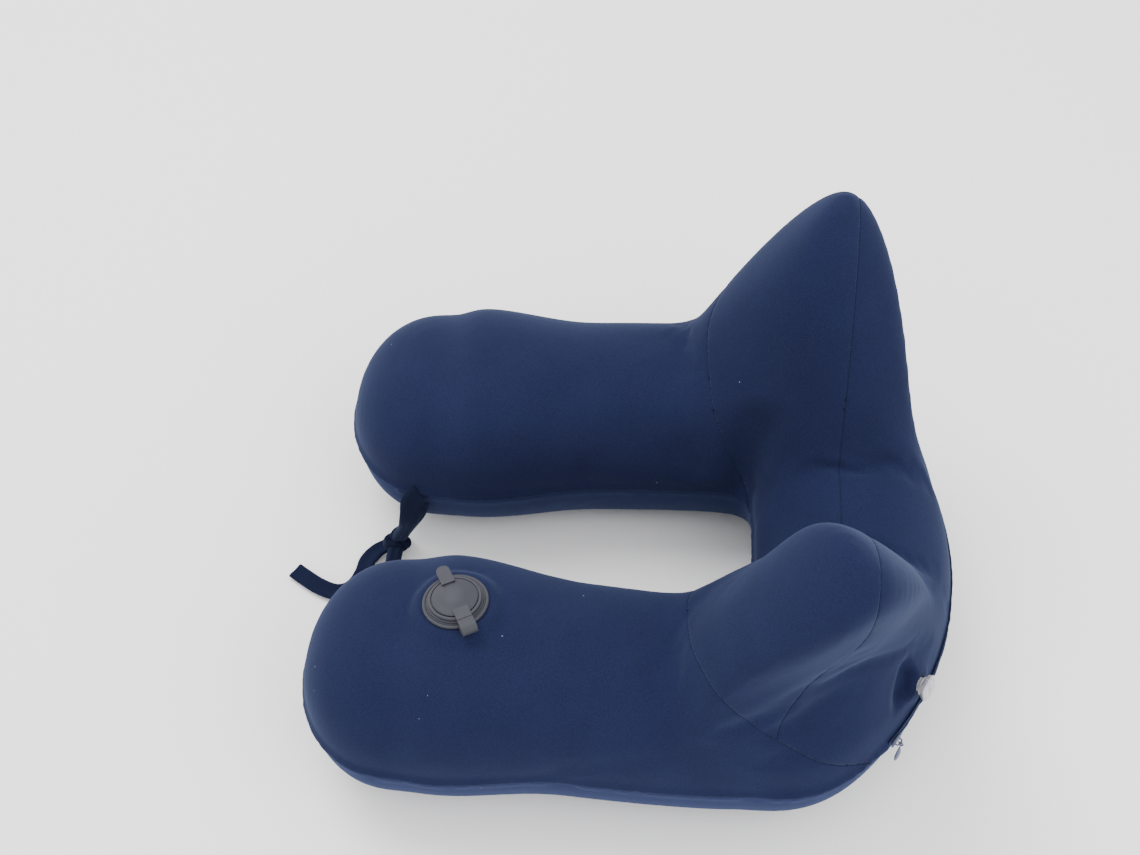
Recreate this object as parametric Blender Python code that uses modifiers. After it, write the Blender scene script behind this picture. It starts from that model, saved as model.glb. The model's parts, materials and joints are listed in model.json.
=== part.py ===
"""Inflatable U-shaped camp pillow: a stretch cover with two tall rear fins around an air bladder.

Metres, +Z up. The arms point to -Y, the back is at +Y, and the pillow lies on the plane z = 0.
The flip valve is on the right arm (+X), the mouth valve behind the right fin.
"""

import math

import bmesh
import bpy
import numpy as np
from mathutils import Matrix, Vector
from mathutils.bvhtree import BVHTree

# ---- pillow form: plan ----
LENGTH = 0.384            # from the arm tips to the back
ARM_OFFSET = 0.106        # centre line of a straight arm, from the middle
TIP_OFFSET = 0.099        # centre line at an arm's tip
BACK_REACH = 0.090        # depth of the bend, along the centre line
BACK_SQUARENESS = 2.6     # exponent of the bend: 2 is an ellipse
BACK_RADIUS = 0.205       # curve of the back's rear edge, which the zip follows
TIP_ROUND = 0.060         # length of the rounded end of an arm

# ---- pillow form: section ----
BACK_HALF_WIDTH = 0.061
FIN_HALF_WIDTH = 0.060
WAIST_HALF_WIDTH = 0.0605
BULB_HALF_WIDTH = 0.0705
TIP_HALF_WIDTH = 0.0685
BACK_HEIGHT = 0.112
FIN_BASE_HEIGHT = 0.120
WAIST_HEIGHT = 0.120
BULB_HEIGHT = 0.124
TIP_HEIGHT = 0.112
SECTION_SQUARENESS = 2.35
TIP_MIDDLE = 0.060        # height of the arm's pole
RESTING_FLAT = 0.0012     # how far the underside is flattened where it lies

# ---- fins ----
FIN_HEIGHT = 0.244        # top of a fin
FIN_STATION = 0.109       # distance of its apex along the centre line from the middle of the back
FIN_FRONT = 0.058         # run of the fin towards the arm
FIN_REAR = 0.062          # run of the fin towards the middle of the back
FIN_ROUND = 0.006         # rounding of its apex
FIN_LEAN = 0.030          # how far the apex leans outwards
FIN_PINCH_OUTER = 0.57
FIN_PINCH_INNER = 0.18

# ---- stations of the loft ----
WAIST_STATION = 0.235
BULB_STATION = 0.310
RINGS_TO_FIN = 6          # even rings from the middle of the back to the fin's apex
ARM_RINGS = 6
TIP_RINGS = 3
SIDES = 16

# ---- cover, film and seams ----
COVER = 0.0010            # fabric thickness
FILM = 0.0004             # bladder film thickness
GAP = 0.0003              # clearance between pieces that touch
SEAM_HEIGHT = 0.057       # the seam round the whole pillow
ARM_SEAM_RIGHT = 0.0247   # where each arm seam crosses the inner half of its arm
ARM_SEAM_LEFT = 0.0385
ARM_SEAM_TURN = 0.095     # sideways place where the seam starts to run back
ARM_SEAM_SLOPE = 0.60     # its run back for each unit outwards
ARM_SEAM_SOFT = 0.020
ARM_SEAM_RISE = 0.77      # its run back for each unit down the outer side
ARM_SEAM_SWEEP = 9.6      # how fast that run grows
ARM_SEAM_INNER_RISE = 0.47
OUTER_SIDE_START = 0.060  # sideways places between which inner turns to outer side
OUTER_SIDE_END = 0.120
RIDGE_Y = 0.118           # seam over the fins' apexes
RIDGE_BEND = 0.0385       # how far its outer end turns forward
RIDGE_BEND_TOP = 0.195    # heights between which it turns
RIDGE_BEND_LOW = 0.095
RIDGE_OUTER_START = 0.100
RIDGE_OUTER_END = 0.120

# ---- zip ----
ZIP_HALF_SPAN = 0.128     # sideways reach of the zip from the middle of the back
SLOT_HALF = 0.0050        # half height of the slot in the seam
COIL_RADIUS = 0.0006
COIL_CENTRE = 0.0012      # height of each coil from the seam line
COIL_DEPTH = 0.0005       # coils and tapes lie this far inside the rear edge
TAPE_WIDTH = 0.0026
TAPE_THICKNESS = 0.0006
SLIDER_LENGTH = 0.0075
SLIDER_HALF_HEIGHT = 0.0034
SLIDER_REAR_HALF_HEIGHT = SLIDER_HALF_HEIGHT - 0.0008
SLIDER_PLATE = 0.0010
SLIDER_WEB_HALF = 0.0003
STOP_LENGTH = 0.0022
BAIL_WIRE = 0.00045
BAIL_HALF_SPAN = 0.0017
BAIL_REACH = 0.0026
PULL_RING = 0.0013
PULL_WIRE = 0.00045
PULL_LENGTH = 0.0205
PULL_RADIUS = 0.0026

# ---- flip valve on the right arm ----
VALVE_X = 0.0905
VALVE_Y = -0.100
VALVE_HINGE_TURN = 27.0   # degrees from +X to the side of the hinge strap
FLANGE_RADIUS = 0.0188
FLANGE_THICKNESS = 0.0014
SEAT_RADIUS = FLANGE_RADIUS - 0.0028
SEAT_STEP = 0.0011
NECK_RADIUS = 0.0118
NECK_BORE = NECK_RADIUS - 0.0018
NECK_LENGTH = 0.0100
WELD_RADIUS = NECK_RADIUS + 0.0017
WELD_THICKNESS = 0.0005
PLUG_RADIUS = SEAT_RADIUS - 0.0008
PLUG_THICKNESS = 0.0014
PLUG_SKIRT = NECK_BORE - 2.0 * GAP
PLUG_SKIRT_DEPTH = 0.0030
PLUG_BORE = 0.0062
RECESS = 0.0006           # depth of the cap's recess in the plug
CAP_PIVOT_REACH = 0.0012  # the cap folds this far outside the plug's rim
CAP_RADIUS = PLUG_RADIUS - 0.0024
CAP_RISE = 0.0022
SPIGOT_RADIUS = PLUG_BORE - 2.0 * GAP
SPIGOT_DEPTH = 0.0022
TAB_WIDTH = 0.0078
TAB_REACH = FLANGE_RADIUS + 0.0027
TAB_THICKNESS = 0.0011
STRAP_WIDTH = 0.0080
FLAP_RADIUS = NECK_BORE - 0.0014
FLAP_THICKNESS = 0.0005

# ---- mouth valve behind the right fin ----
MOUTH_STATION = 0.072     # distance along the centre line from the middle of the back
MOUTH_HEIGHT = 0.074
STEM_RADIUS = 0.0042
STEM_BORE = STEM_RADIUS - 0.0012
STEM_OUT = 0.0065
STEM_IN = 0.0090
STEM_LIP = STEM_RADIUS + 0.0014
STEM_LIP_THICKNESS = 0.0012
STEM_WELD_RADIUS = STEM_RADIUS + 0.0043
STOPPER_RADIUS = STEM_LIP + 0.0004
STOPPER_THICKNESS = 0.0026
STOPPER_SPIGOT = STEM_BORE - 0.0004
STOPPER_SPIGOT_DEPTH = 0.0018
STOPPER_HINGE = STOPPER_RADIUS + 0.0018

# ---- tie straps ----
STRAP_RADIUS = 0.0042
TAIL_RADIUS = 0.0036
KNOT_RADIUS = 0.0095

# ---- cutters and sampling ----
LINE_STEP = 0.004         # span over which the centre line's heading is read
SEAT_SAMPLES = 16         # points round a valve's seat
WORLD_REACH = 0.40        # cutters and lines of sight run this far
CUTTER_LOW = 0.030        # heights between which the seam cutters follow their seams
CUTTER_HIGH = 0.320
CUTTER_INNER = 0.006      # an arm's cutter runs from here
CUTTER_REACH = 0.210      # to here, sideways
CUTTER_ROWS = 24
ARM_CUTTER_COLUMNS = 12
RIDGE_CUTTER_COLUMNS = 42
SLOT_DEPTH = 0.012        # how far the zip's slot reaches in from the rear edge
SLOT_STEPS = 24
TAPE_STEPS = 24
COIL_POINTS = 28
CORD_STEP = 0.006         # spacing of the points along a strap

# ---- finishes ----
CLOTH_ROUGHNESS = 0.85
NAVY = (0.020, 0.034, 0.106)
NAVY_BAND = (0.035, 0.062, 0.165)
FILM_GREY = (0.45, 0.47, 0.50)
VALVE_GREY = (0.115, 0.120, 0.150)
CLEAR = (0.75, 0.76, 0.78)
ZIP_BLUE = (0.030, 0.045, 0.110)
ZIP_METAL = (0.090, 0.100, 0.150)


def clear_scene():
    for old in list(bpy.data.objects):
        bpy.data.objects.remove(old, do_unlink=True)


def new_collection(name, hidden=False):
    collection = bpy.data.collections.new(name)
    collection.hide_render = hidden
    bpy.context.scene.collection.children.link(collection)
    return collection


clear_scene()
PIECES = new_collection("camp_pillow")
CUTTERS = new_collection("cutters", hidden=True)


def make_material(name, colour, roughness, metallic=0.0):
    material = bpy.data.materials.new(name)
    material.use_nodes = True
    shader = material.node_tree.nodes["Principled BSDF"]
    shader.inputs["Base Color"].default_value = (*colour, 1.0)
    shader.inputs["Roughness"].default_value = roughness
    shader.inputs["Metallic"].default_value = metallic
    return material


def add_object(name, data, colour, roughness, metallic=0.0, parent=None):
    piece = bpy.data.objects.new(name, data)
    PIECES.objects.link(piece)
    data.materials.clear()
    data.materials.append(make_material(name, colour, roughness, metallic))
    piece.parent = parent
    return piece


def add_cutter(name, data, parent=None):
    cutter = bpy.data.objects.new(name, data)
    CUTTERS.objects.link(cutter)
    cutter.hide_render = True
    cutter.display_type = "WIRE"
    cutter.parent = parent
    return cutter


def add_empty(name, matrix, parent=None):
    """An empty placed by a matrix under its parent."""
    empty = bpy.data.objects.new(name, None)
    PIECES.objects.link(empty)
    empty.parent = parent
    empty.matrix_basis = matrix
    return empty


def add_boolean(piece, cutter, operation):
    modifier = piece.modifiers.new(cutter.name, "BOOLEAN")
    modifier.operation = operation
    modifier.object = cutter


# ---------------------------------------------------------------- the form


def half_centre_line():
    """Points of the centre line in plan, from the middle of the back to the end of the right arm."""
    tip_ring = -LENGTH / 2 + TIP_ROUND
    bend_start = LENGTH / 2 - BACK_HALF_WIDTH - BACK_REACH
    turn = np.linspace(0.0, math.pi / 2, 160)
    power = 2.0 / BACK_SQUARENESS
    bend_x = ARM_OFFSET * np.sin(turn) ** power
    bend_y = bend_start + BACK_REACH * np.abs(np.cos(turn)) ** power
    run = np.linspace(0.0, 1.0, 80)[1:]
    ease = run * run * (3.0 - 2.0 * run)
    arm_x = ARM_OFFSET + (TIP_OFFSET - ARM_OFFSET) * ease
    arm_y = bend_start + (tip_ring - bend_start) * run
    return np.r_[bend_x, arm_x], np.r_[bend_y, arm_y]


LINE_X, LINE_Y = half_centre_line()
LINE_S = np.r_[0.0, np.cumsum(np.hypot(np.diff(LINE_X), np.diff(LINE_Y)))]
LINE_END = LINE_S[-1]


def centre_at(station):
    """Plan position and heading of the centre line."""
    x = np.interp(station, LINE_S, LINE_X)
    y = np.interp(station, LINE_S, LINE_Y)
    ahead = station + LINE_STEP
    behind = station - LINE_STEP
    tangent_x = np.interp(ahead, LINE_S, LINE_X) - np.interp(behind, LINE_S, LINE_X)
    tangent_y = np.interp(ahead, LINE_S, LINE_Y) - np.interp(behind, LINE_S, LINE_Y)
    if station <= 0.0:
        tangent_x, tangent_y = 1.0, 0.0
    size = math.hypot(tangent_x, tangent_y)
    return x, y, tangent_x / size, tangent_y / size


def ease_between(stations, values, at):
    """Value at a station, eased smoothly from each given station to the next."""
    for i in range(len(stations) - 1):
        if at <= stations[i + 1]:
            t = max(0.0, (at - stations[i]) / (stations[i + 1] - stations[i]))
            t = t * t * (3.0 - 2.0 * t)
            return values[i] + (values[i + 1] - values[i]) * t
    return values[-1]


def rear_edge_half_width(station):
    """Half width that puts the section's outer side on the arc of the rear edge."""
    x, y, tangent_x, tangent_y = centre_at(station)
    centre_y = LENGTH / 2 - BACK_RADIUS
    out = Vector((-tangent_y, tangent_x))
    offset = Vector((x, y - centre_y))
    along = offset.dot(out)
    return -along + math.sqrt(along * along - offset.length_squared + BACK_RADIUS**2)


def section_size(station):
    """Half width, tube height, top height and fin share at a station."""
    knots = (0.0, FIN_STATION, WAIST_STATION, BULB_STATION, LINE_END)
    widths = (BACK_HALF_WIDTH, FIN_HALF_WIDTH, WAIST_HALF_WIDTH, BULB_HALF_WIDTH, TIP_HALF_WIDTH)
    heights = (BACK_HEIGHT, FIN_BASE_HEIGHT, WAIST_HEIGHT, BULB_HEIGHT, TIP_HEIGHT)
    half_width = ease_between(knots, widths, station)
    height = ease_between(knots, heights, station)
    run = FIN_REAR if station < FIN_STATION else FIN_FRONT
    t = abs(station - FIN_STATION) / run
    rounding = FIN_ROUND / FIN_REAR
    rise = 1.0 - (math.sqrt(t * t + rounding * rounding) - rounding)
    soft = 0.5 * (rise + math.sqrt(rise * rise + 0.02))
    share = min(1.0, max(0.0, (soft - 0.03) / (0.5 * (1.0 + math.sqrt(1.02)) - 0.03)))
    return half_width, height, height + (FIN_HEIGHT - FIN_BASE_HEIGHT) * share, share


def outer_share(station):
    """How much of the section's outer side follows the rear edge's arc."""
    return 1.0 - ease_between((0.0, 0.095, 0.145), (0.0, 0.0, 1.0), station)


def section_ring(station, scale=1.0, forward=0.0):
    """World points of one closed section, counter-clockwise seen from the arm's tip."""
    half_width, height, top, share = section_size(station)
    follow = outer_share(station)
    outer_width = half_width
    if follow > 0.0:
        outer_width += (rear_edge_half_width(station) - half_width) * follow
    x, y, tangent_x, tangent_y = centre_at(station)
    power = 2.0 / SECTION_SQUARENESS
    widest = math.cos(math.pi / SIDES) ** power
    ring = []
    for j in range(SIDES):
        angle = (j + 0.5) * 2.0 * math.pi / SIDES - math.pi / 2
        side = math.copysign(abs(math.cos(angle)) ** power, math.cos(angle)) / widest
        rise = math.copysign(abs(math.sin(angle)) ** power, math.sin(angle))
        up = max(0.0, rise)
        z = height / 2 + (top - height / 2) * up if rise > 0.0 else height / 2 * (1.0 + rise)
        z = max(z, RESTING_FLAT) - RESTING_FLAT
        pinch = (FIN_PINCH_OUTER if side > 0.0 else FIN_PINCH_INNER) * 4.0 * up * (1.0 - up)
        reach = (outer_width if side > 0.0 else half_width) * side * (1.0 - share * pinch)
        reach += share * FIN_LEAN * up**1.5
        z = TIP_MIDDLE + (z - TIP_MIDDLE) * scale
        reach *= scale
        ring.append(
            Vector(
                (
                    x - tangent_y * reach + tangent_x * forward,
                    y + tangent_x * reach + tangent_y * forward,
                    z,
                )
            )
        )
    return ring


def half_rings():
    """Sections from the middle of the back to the last ring of the right arm's round end."""
    arm_start = 2.0 * FIN_STATION
    stations = list(np.linspace(0.0, arm_start, 2 * RINGS_TO_FIN, endpoint=False))
    stations += list(np.linspace(arm_start, LINE_END, ARM_RINGS))
    rings = [section_ring(float(station)) for station in stations]
    for k in range(1, TIP_RINGS + 1):
        forward = math.sin(k / (TIP_RINGS + 0.5) * math.pi / 2)
        scale = math.sqrt(1.0 - forward**2.2)
        rings.append(section_ring(LINE_END, scale, TIP_ROUND * forward))
    return rings


def tip_pole():
    x, y, tangent_x, tangent_y = centre_at(LINE_END)
    return Vector((x + tangent_x * TIP_ROUND, y + tangent_y * TIP_ROUND, TIP_MIDDLE))


def form_mesh(name):
    """The pillow's closed outer surface, lofted from one arm tip round to the other."""
    right = half_rings()
    mirror = Matrix.Scale(-1.0, 3, Vector((1.0, 0.0, 0.0)))
    left = [[mirror @ point for point in ring] for ring in right[:0:-1]]
    form = bmesh.new()
    rows = [[form.verts.new(point) for point in ring] for ring in left + right]
    first = form.verts.new(mirror @ tip_pole())
    last = form.verts.new(tip_pole())
    for j in range(SIDES):
        k = (j + 1) % SIDES
        form.faces.new((first, rows[0][j], rows[0][k]))
        form.faces.new((last, rows[-1][k], rows[-1][j]))
        for row, after in zip(rows[:-1], rows[1:]):
            form.faces.new((row[j], after[j], after[k], row[k]))
    bmesh.ops.triangulate(form, faces=form.faces[:])
    bmesh.ops.recalc_face_normals(form, faces=form.faces[:])
    mesh = bpy.data.meshes.new(name)
    form.to_mesh(mesh)
    form.free()
    mesh.shade_smooth()
    mesh.set_sharp_from_angle(angle=math.radians(50.0))
    return mesh


# ---------------------------------------------------------------- seats of the two valves


def surface_tree():
    form = bmesh.new()
    mesh = form_mesh("seating")
    form.from_mesh(mesh)
    tree = BVHTree.FromBMesh(form)
    form.free()
    bpy.data.meshes.remove(mesh)
    return tree


SURFACE = surface_tree()


def surface_circle(centre, direction, radius):
    """Points of the form's surface on a circle round a line of sight."""
    side = direction.orthogonal().normalized()
    points = []
    for i in range(SEAT_SAMPLES):
        turn = Matrix.Rotation(2.0 * math.pi * i / SEAT_SAMPLES, 3, direction)
        start = centre + turn @ side * radius - direction * 0.1
        hit = SURFACE.ray_cast(start, direction)[0]
        points.append(hit if hit else start + direction * 0.1)
    return points


def seat_on_form(start, direction, radius, along):
    """World matrix of a disc lying on the form: Z out of the cover, X towards a given side."""
    centre = SURFACE.ray_cast(start, direction)[0]
    rim = surface_circle(centre, direction, radius)
    middle = sum(rim, Vector()) / len(rim)
    up = Vector()
    for a, b in zip(rim, rim[1:] + rim[:1]):
        up += (a - middle).cross(b - middle)
    up.normalize()
    if up.dot(direction) > 0.0:
        up.negate()
    near = rim + surface_circle(centre, direction, radius * 0.6) + [centre]
    lift = max((point - centre).dot(up) for point in near)
    along = (along - up * along.dot(up)).normalized()
    basis = Matrix((along, up.cross(along), up)).transposed().to_4x4()
    return Matrix.Translation(centre + up * lift) @ basis


def drop_under(seat, radius):
    """How far the form falls away under a disc on its seat."""
    up = seat.to_3x3() @ Vector((0.0, 0.0, 1.0))
    rim = surface_circle(seat.translation, -up, radius)
    return -min((point - seat.translation).dot(up) for point in rim)


def valve_seat():
    turn = math.radians(VALVE_HINGE_TURN)
    along = Vector((math.cos(turn), math.sin(turn), 0.0))
    start = Vector((VALVE_X, VALVE_Y, 2.0 * FIN_HEIGHT))
    return seat_on_form(start, Vector((0.0, 0.0, -1.0)), FLANGE_RADIUS, along)


def mouth_seat():
    x, y, tangent_x, tangent_y = centre_at(MOUTH_STATION)
    inward = Vector((tangent_y, -tangent_x, 0.0))
    start = Vector((x, y, MOUTH_HEIGHT)) - inward * WORLD_REACH
    return seat_on_form(start, inward, STEM_WELD_RADIUS, Vector((0.0, 0.0, -1.0)))


VALVE_SEAT = valve_seat()
MOUTH_SEAT = mouth_seat()
VALVE_WELD_TOP = -(drop_under(VALVE_SEAT, WELD_RADIUS) + COVER + GAP)
MOUTH_WELD_TOP = -(drop_under(MOUTH_SEAT, STEM_WELD_RADIUS) + COVER + GAP)
SLIDER_DEPTH = COIL_DEPTH + COIL_RADIUS + GAP + SLIDER_PLATE
FILM_DEPTH = GAP + max(
    WELD_THICKNESS - VALVE_WELD_TOP, WELD_THICKNESS - MOUTH_WELD_TOP, SLIDER_DEPTH + GAP
)


# ---------------------------------------------------------------- seam cutters


def box_mesh(name, low, high):
    box = bmesh.new()
    bmesh.ops.create_cube(box, size=1.0)
    size = Vector(high) - Vector(low)
    middle = (Vector(high) + Vector(low)) / 2
    bmesh.ops.scale(box, vec=size, verts=box.verts)
    bmesh.ops.translate(box, vec=middle, verts=box.verts)
    mesh = bpy.data.meshes.new(name)
    box.to_mesh(mesh)
    box.free()
    return mesh


def prism_mesh(name, outline, low, high):
    """A closed prism on a plan outline, sheared from the low offset point to the high one."""
    prism = bmesh.new()
    base = [prism.verts.new(Vector((x, y, 0.0)) + Vector(low)) for x, y in outline]
    face = prism.faces.new(base)
    grown = bmesh.ops.extrude_face_region(prism, geom=[face])
    moved = [item for item in grown["geom"] if isinstance(item, bmesh.types.BMVert)]
    bmesh.ops.translate(prism, vec=Vector(high) - Vector(low), verts=moved)
    bmesh.ops.recalc_face_normals(prism, faces=prism.faces[:])
    mesh = bpy.data.meshes.new(name)
    prism.to_mesh(mesh)
    prism.free()
    return mesh


def smooth_step(start, end, at):
    t = min(1.0, max(0.0, (at - start) / (end - start)))
    return t * t * (3.0 - 2.0 * t)


def arm_seam(x, z):
    """The arm seam's y: it crosses the arm, then runs back as it goes down the outer side."""
    across = abs(x) - ARM_SEAM_TURN
    ramp = 0.5 * (across + math.hypot(across, ARM_SEAM_SOFT))
    down = FIN_BASE_HEIGHT - z
    outer = smooth_step(OUTER_SIDE_START, OUTER_SIDE_END, abs(x))
    outer_run = ARM_SEAM_RISE * down + ARM_SEAM_SWEEP * max(0.0, down) ** 2
    start = ARM_SEAM_RIGHT if x > 0.0 else ARM_SEAM_LEFT
    run = outer * outer_run + (1.0 - outer) * ARM_SEAM_INNER_RISE * down
    return start + ARM_SEAM_SLOPE * ramp + run


def ridge_seam(x, z):
    """The ridge seam's y: straight over the fins, turning forward low on the outer side."""
    outer = smooth_step(RIDGE_OUTER_START, RIDGE_OUTER_END, abs(x))
    low = 1.0 - smooth_step(RIDGE_BEND_LOW, RIDGE_BEND_TOP, z)
    return RIDGE_Y - RIDGE_BEND * outer * low


def front_cutter(name, seam, clearance, start, end, columns):
    """A closed block in front of a seam's surface, from one sideways place to another."""
    block = bmesh.new()
    bmesh.ops.create_grid(block, x_segments=columns, y_segments=CUTTER_ROWS, size=0.5)
    for vert in block.verts:
        x = start + (end - start) * (vert.co.x + 0.5)
        z = CUTTER_LOW + (CUTTER_HIGH - CUTTER_LOW) * (vert.co.y + 0.5)
        vert.co = (x, seam(x, z) + clearance, z)
    grown = bmesh.ops.extrude_face_region(block, geom=block.faces[:])
    for item in grown["geom"]:
        if isinstance(item, bmesh.types.BMVert):
            item.co.y = -WORLD_REACH
    bmesh.ops.recalc_face_normals(block, faces=block.faces[:])
    mesh = bpy.data.meshes.new(name)
    block.to_mesh(mesh)
    block.free()
    return add_cutter(name, mesh)


def arm_cutter(name, side, clearance):
    start = side * CUTTER_INNER
    return front_cutter(name, arm_seam, clearance, start, side * CUTTER_REACH, ARM_CUTTER_COLUMNS)


def ridge_cutter(name, clearance):
    columns = RIDGE_CUTTER_COLUMNS
    return front_cutter(name, ridge_seam, clearance, -CUTTER_REACH, CUTTER_REACH, columns)


# ---------------------------------------------------------------- rear edge and zip track

TRACK_CENTRE = Vector((0.0, LENGTH / 2 - BACK_RADIUS, SEAM_HEIGHT))
TRACK_START = math.acos(ZIP_HALF_SPAN / BACK_RADIUS)
TRACK_END = math.pi - TRACK_START
SLIDER_TURN = TRACK_START + (SLIDER_LENGTH / 2 + STOP_LENGTH + 3.0 * GAP) / BACK_RADIUS
SLIDER_TRAVEL = math.pi - 2.0 * SLIDER_TURN
STOP_TURN = (STOP_LENGTH + 2.0 * GAP) / BACK_RADIUS


def track_point(angle, depth=0.0, height=0.0):
    radius = BACK_RADIUS - depth
    offset = Vector((radius * math.cos(angle), radius * math.sin(angle), height))
    return TRACK_CENTRE + offset


def track_frame(angle, depth=0.0):
    """World matrix on the track: X outwards, Y along the track, Z up."""
    turn = Matrix.Rotation(angle, 4, "Z")
    return Matrix.Translation(track_point(angle, depth)) @ turn


def sector_mesh(name, turns, radii, heights, steps):
    """A closed curved bar: a rectangle swept round the track's centre."""
    start, end = turns
    inner, outer = radii
    low, high = heights
    bar = bmesh.new()
    corners = ((inner, low), (outer, low), (outer, high), (inner, high))
    points = [
        bar.verts.new(TRACK_CENTRE + Vector((r * math.cos(start), r * math.sin(start), z)))
        for r, z in corners
    ]
    face = bar.faces.new(points)
    bmesh.ops.spin(
        bar,
        geom=[face] + list(face.edges) + points,
        cent=TRACK_CENTRE,
        axis=(0.0, 0.0, 1.0),
        angle=end - start,
        steps=steps,
        use_merge=False,
        use_duplicate=False,
    )
    cap = [vert for vert in points if vert.is_valid]
    if not any(set(f.verts) == set(cap) for f in bar.faces):
        bar.faces.new(cap)
    bmesh.ops.recalc_face_normals(bar, faces=bar.faces[:])
    mesh = bpy.data.meshes.new(name)
    bar.to_mesh(mesh)
    bar.free()
    return mesh


def arc_tube(name, start, end, depth, height, radius, colour):
    """A round cord along the track."""
    curve = bpy.data.curves.new(name, "CURVE")
    curve.dimensions = "3D"
    curve.bevel_depth = radius
    curve.bevel_resolution = 1
    curve.use_fill_caps = True
    spline = curve.splines.new("POLY")
    spline.points.add(COIL_POINTS - 1)
    for i, point in enumerate(spline.points):
        angle = start + (end - start) * i / (COIL_POINTS - 1)
        point.co = (*track_point(angle, depth, height), 1.0)
    return add_object(name, curve, colour, 0.45)


# ---------------------------------------------------------------- turned and flat pieces


def lathe_mesh(name, profile, closed=False):
    """A profile in the XZ plane at +X, run from the top down the outer side, turned about Z."""
    outline = bmesh.new()
    points = [outline.verts.new((x, 0.0, z)) for x, z in profile]
    for a, b in zip(points[:-1], points[1:]):
        outline.edges.new((a, b))
    if closed:
        outline.edges.new((points[-1], points[0]))
    mesh = bpy.data.meshes.new(name)
    outline.to_mesh(mesh)
    outline.free()
    return mesh


def add_screw(piece, steps):
    screw = piece.modifiers.new("turn", "SCREW")
    screw.steps = steps
    screw.render_steps = steps
    screw.use_merge_vertices = True
    screw.merge_threshold = 0.00001


def lathe(name, profile, colour, roughness, parent, steps=20, closed=False, cutter=False):
    mesh = lathe_mesh(name, profile, closed)
    if cutter:
        piece = add_cutter(name, mesh, parent)
    else:
        piece = add_object(name, mesh, colour, roughness, parent=parent)
    add_screw(piece, steps)
    return piece


def rounded_bar_mesh(name, start, end, half_width, low, high, round_end):
    """A flat bar along X from start to end, with a round end where asked."""
    outline = [(start, -half_width)]
    if round_end:
        centre = end - half_width
        for i in range(9):
            angle = -math.pi / 2 + math.pi * i / 8
            outline.append((centre + half_width * math.cos(angle), half_width * math.sin(angle)))
    else:
        outline.append((end, -half_width))
        outline.append((end, half_width))
    outline.append((start, half_width))
    return prism_mesh(name, outline, (0.0, 0.0, low), (0.0, 0.0, high))


# ---------------------------------------------------------------- cover and bladder


def shell_piece(name, thickness, colour, roughness, depth=0.0):
    """The form thickened inwards, starting at a depth below its surface."""
    piece = add_object(name, form_mesh(name), colour, roughness)
    if depth:
        inset = piece.modifiers.new("inset", "DISPLACE")
        inset.strength = -depth
        inset.mid_level = 0.0
    shell = piece.modifiers.new("shell", "SOLIDIFY")
    shell.thickness = thickness
    shell.offset = -1.0
    shell.use_even_offset = True
    return piece


def build_cover(valve_hole, mouth_hole):
    floor = (-WORLD_REACH, -WORLD_REACH, -WORLD_REACH)
    below_mesh = box_mesh("below_seam", floor, (WORLD_REACH, WORLD_REACH, SEAM_HEIGHT - GAP / 2))
    under_mesh = box_mesh("under_seam", floor, (WORLD_REACH, WORLD_REACH, SEAM_HEIGHT + GAP / 2))
    below = add_cutter("below_seam", below_mesh)
    under = add_cutter("under_seam", under_mesh)
    front = ridge_cutter("front_of_ridge", -GAP / 2)
    front_wide = ridge_cutter("front_of_ridge_wide", GAP / 2)
    slot_mesh = sector_mesh(
        "zip_slot",
        (TRACK_START, TRACK_END),
        (BACK_RADIUS - SLOT_DEPTH, BACK_RADIUS + SLOT_DEPTH / 2),
        (-SLOT_HALF, SLOT_HALF),
        SLOT_STEPS,
    )
    slot = add_cutter("zip_slot", slot_mesh)
    wide = {}
    for side, label in ((1.0, "right"), (-1.0, "left")):
        wide[label] = arm_cutter(f"arm_{label}_wide", side, GAP / 2)
        narrow = arm_cutter(f"arm_{label}_front", side, -GAP / 2)
        name = f"cover_arm_panel_{label}"
        panel = shell_piece(name, COVER, NAVY, CLOTH_ROUGHNESS)
        add_boolean(panel, narrow, "INTERSECT")
        add_boolean(panel, under, "DIFFERENCE")
        add_boolean(panel, slot, "DIFFERENCE")
        if label == "right":
            add_boolean(panel, valve_hole, "DIFFERENCE")
    yoke = shell_piece("cover_fin_yoke", COVER, NAVY, CLOTH_ROUGHNESS)
    back = shell_piece("cover_back_panel", COVER, NAVY, CLOTH_ROUGHNESS)
    for panel in (yoke, back):
        add_boolean(panel, under, "DIFFERENCE")
        add_boolean(panel, wide["right"], "DIFFERENCE")
        add_boolean(panel, wide["left"], "DIFFERENCE")
    add_boolean(yoke, front, "INTERSECT")
    add_boolean(back, front_wide, "DIFFERENCE")
    add_boolean(back, slot, "DIFFERENCE")
    add_boolean(back, mouth_hole, "DIFFERENCE")
    base = shell_piece("cover_base_panel", COVER, NAVY_BAND, CLOTH_ROUGHNESS)
    add_boolean(base, below, "INTERSECT")
    add_boolean(base, slot, "DIFFERENCE")
    return below, under


def build_bladder(below, under, valve_hole, mouth_hole):
    """Two films welded at the seam's height, one valve port each in the upper film."""
    roughness = 0.4
    upper = shell_piece(
        "bladder_upper_film", FILM, FILM_GREY, roughness, depth=FILM_DEPTH
    )
    add_boolean(upper, under, "DIFFERENCE")
    add_boolean(upper, valve_hole, "DIFFERENCE")
    add_boolean(upper, mouth_hole, "DIFFERENCE")
    lower = shell_piece(
        "bladder_lower_film", FILM, FILM_GREY, roughness, depth=FILM_DEPTH
    )
    add_boolean(lower, below, "INTERSECT")


# ---------------------------------------------------------------- zip


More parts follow.
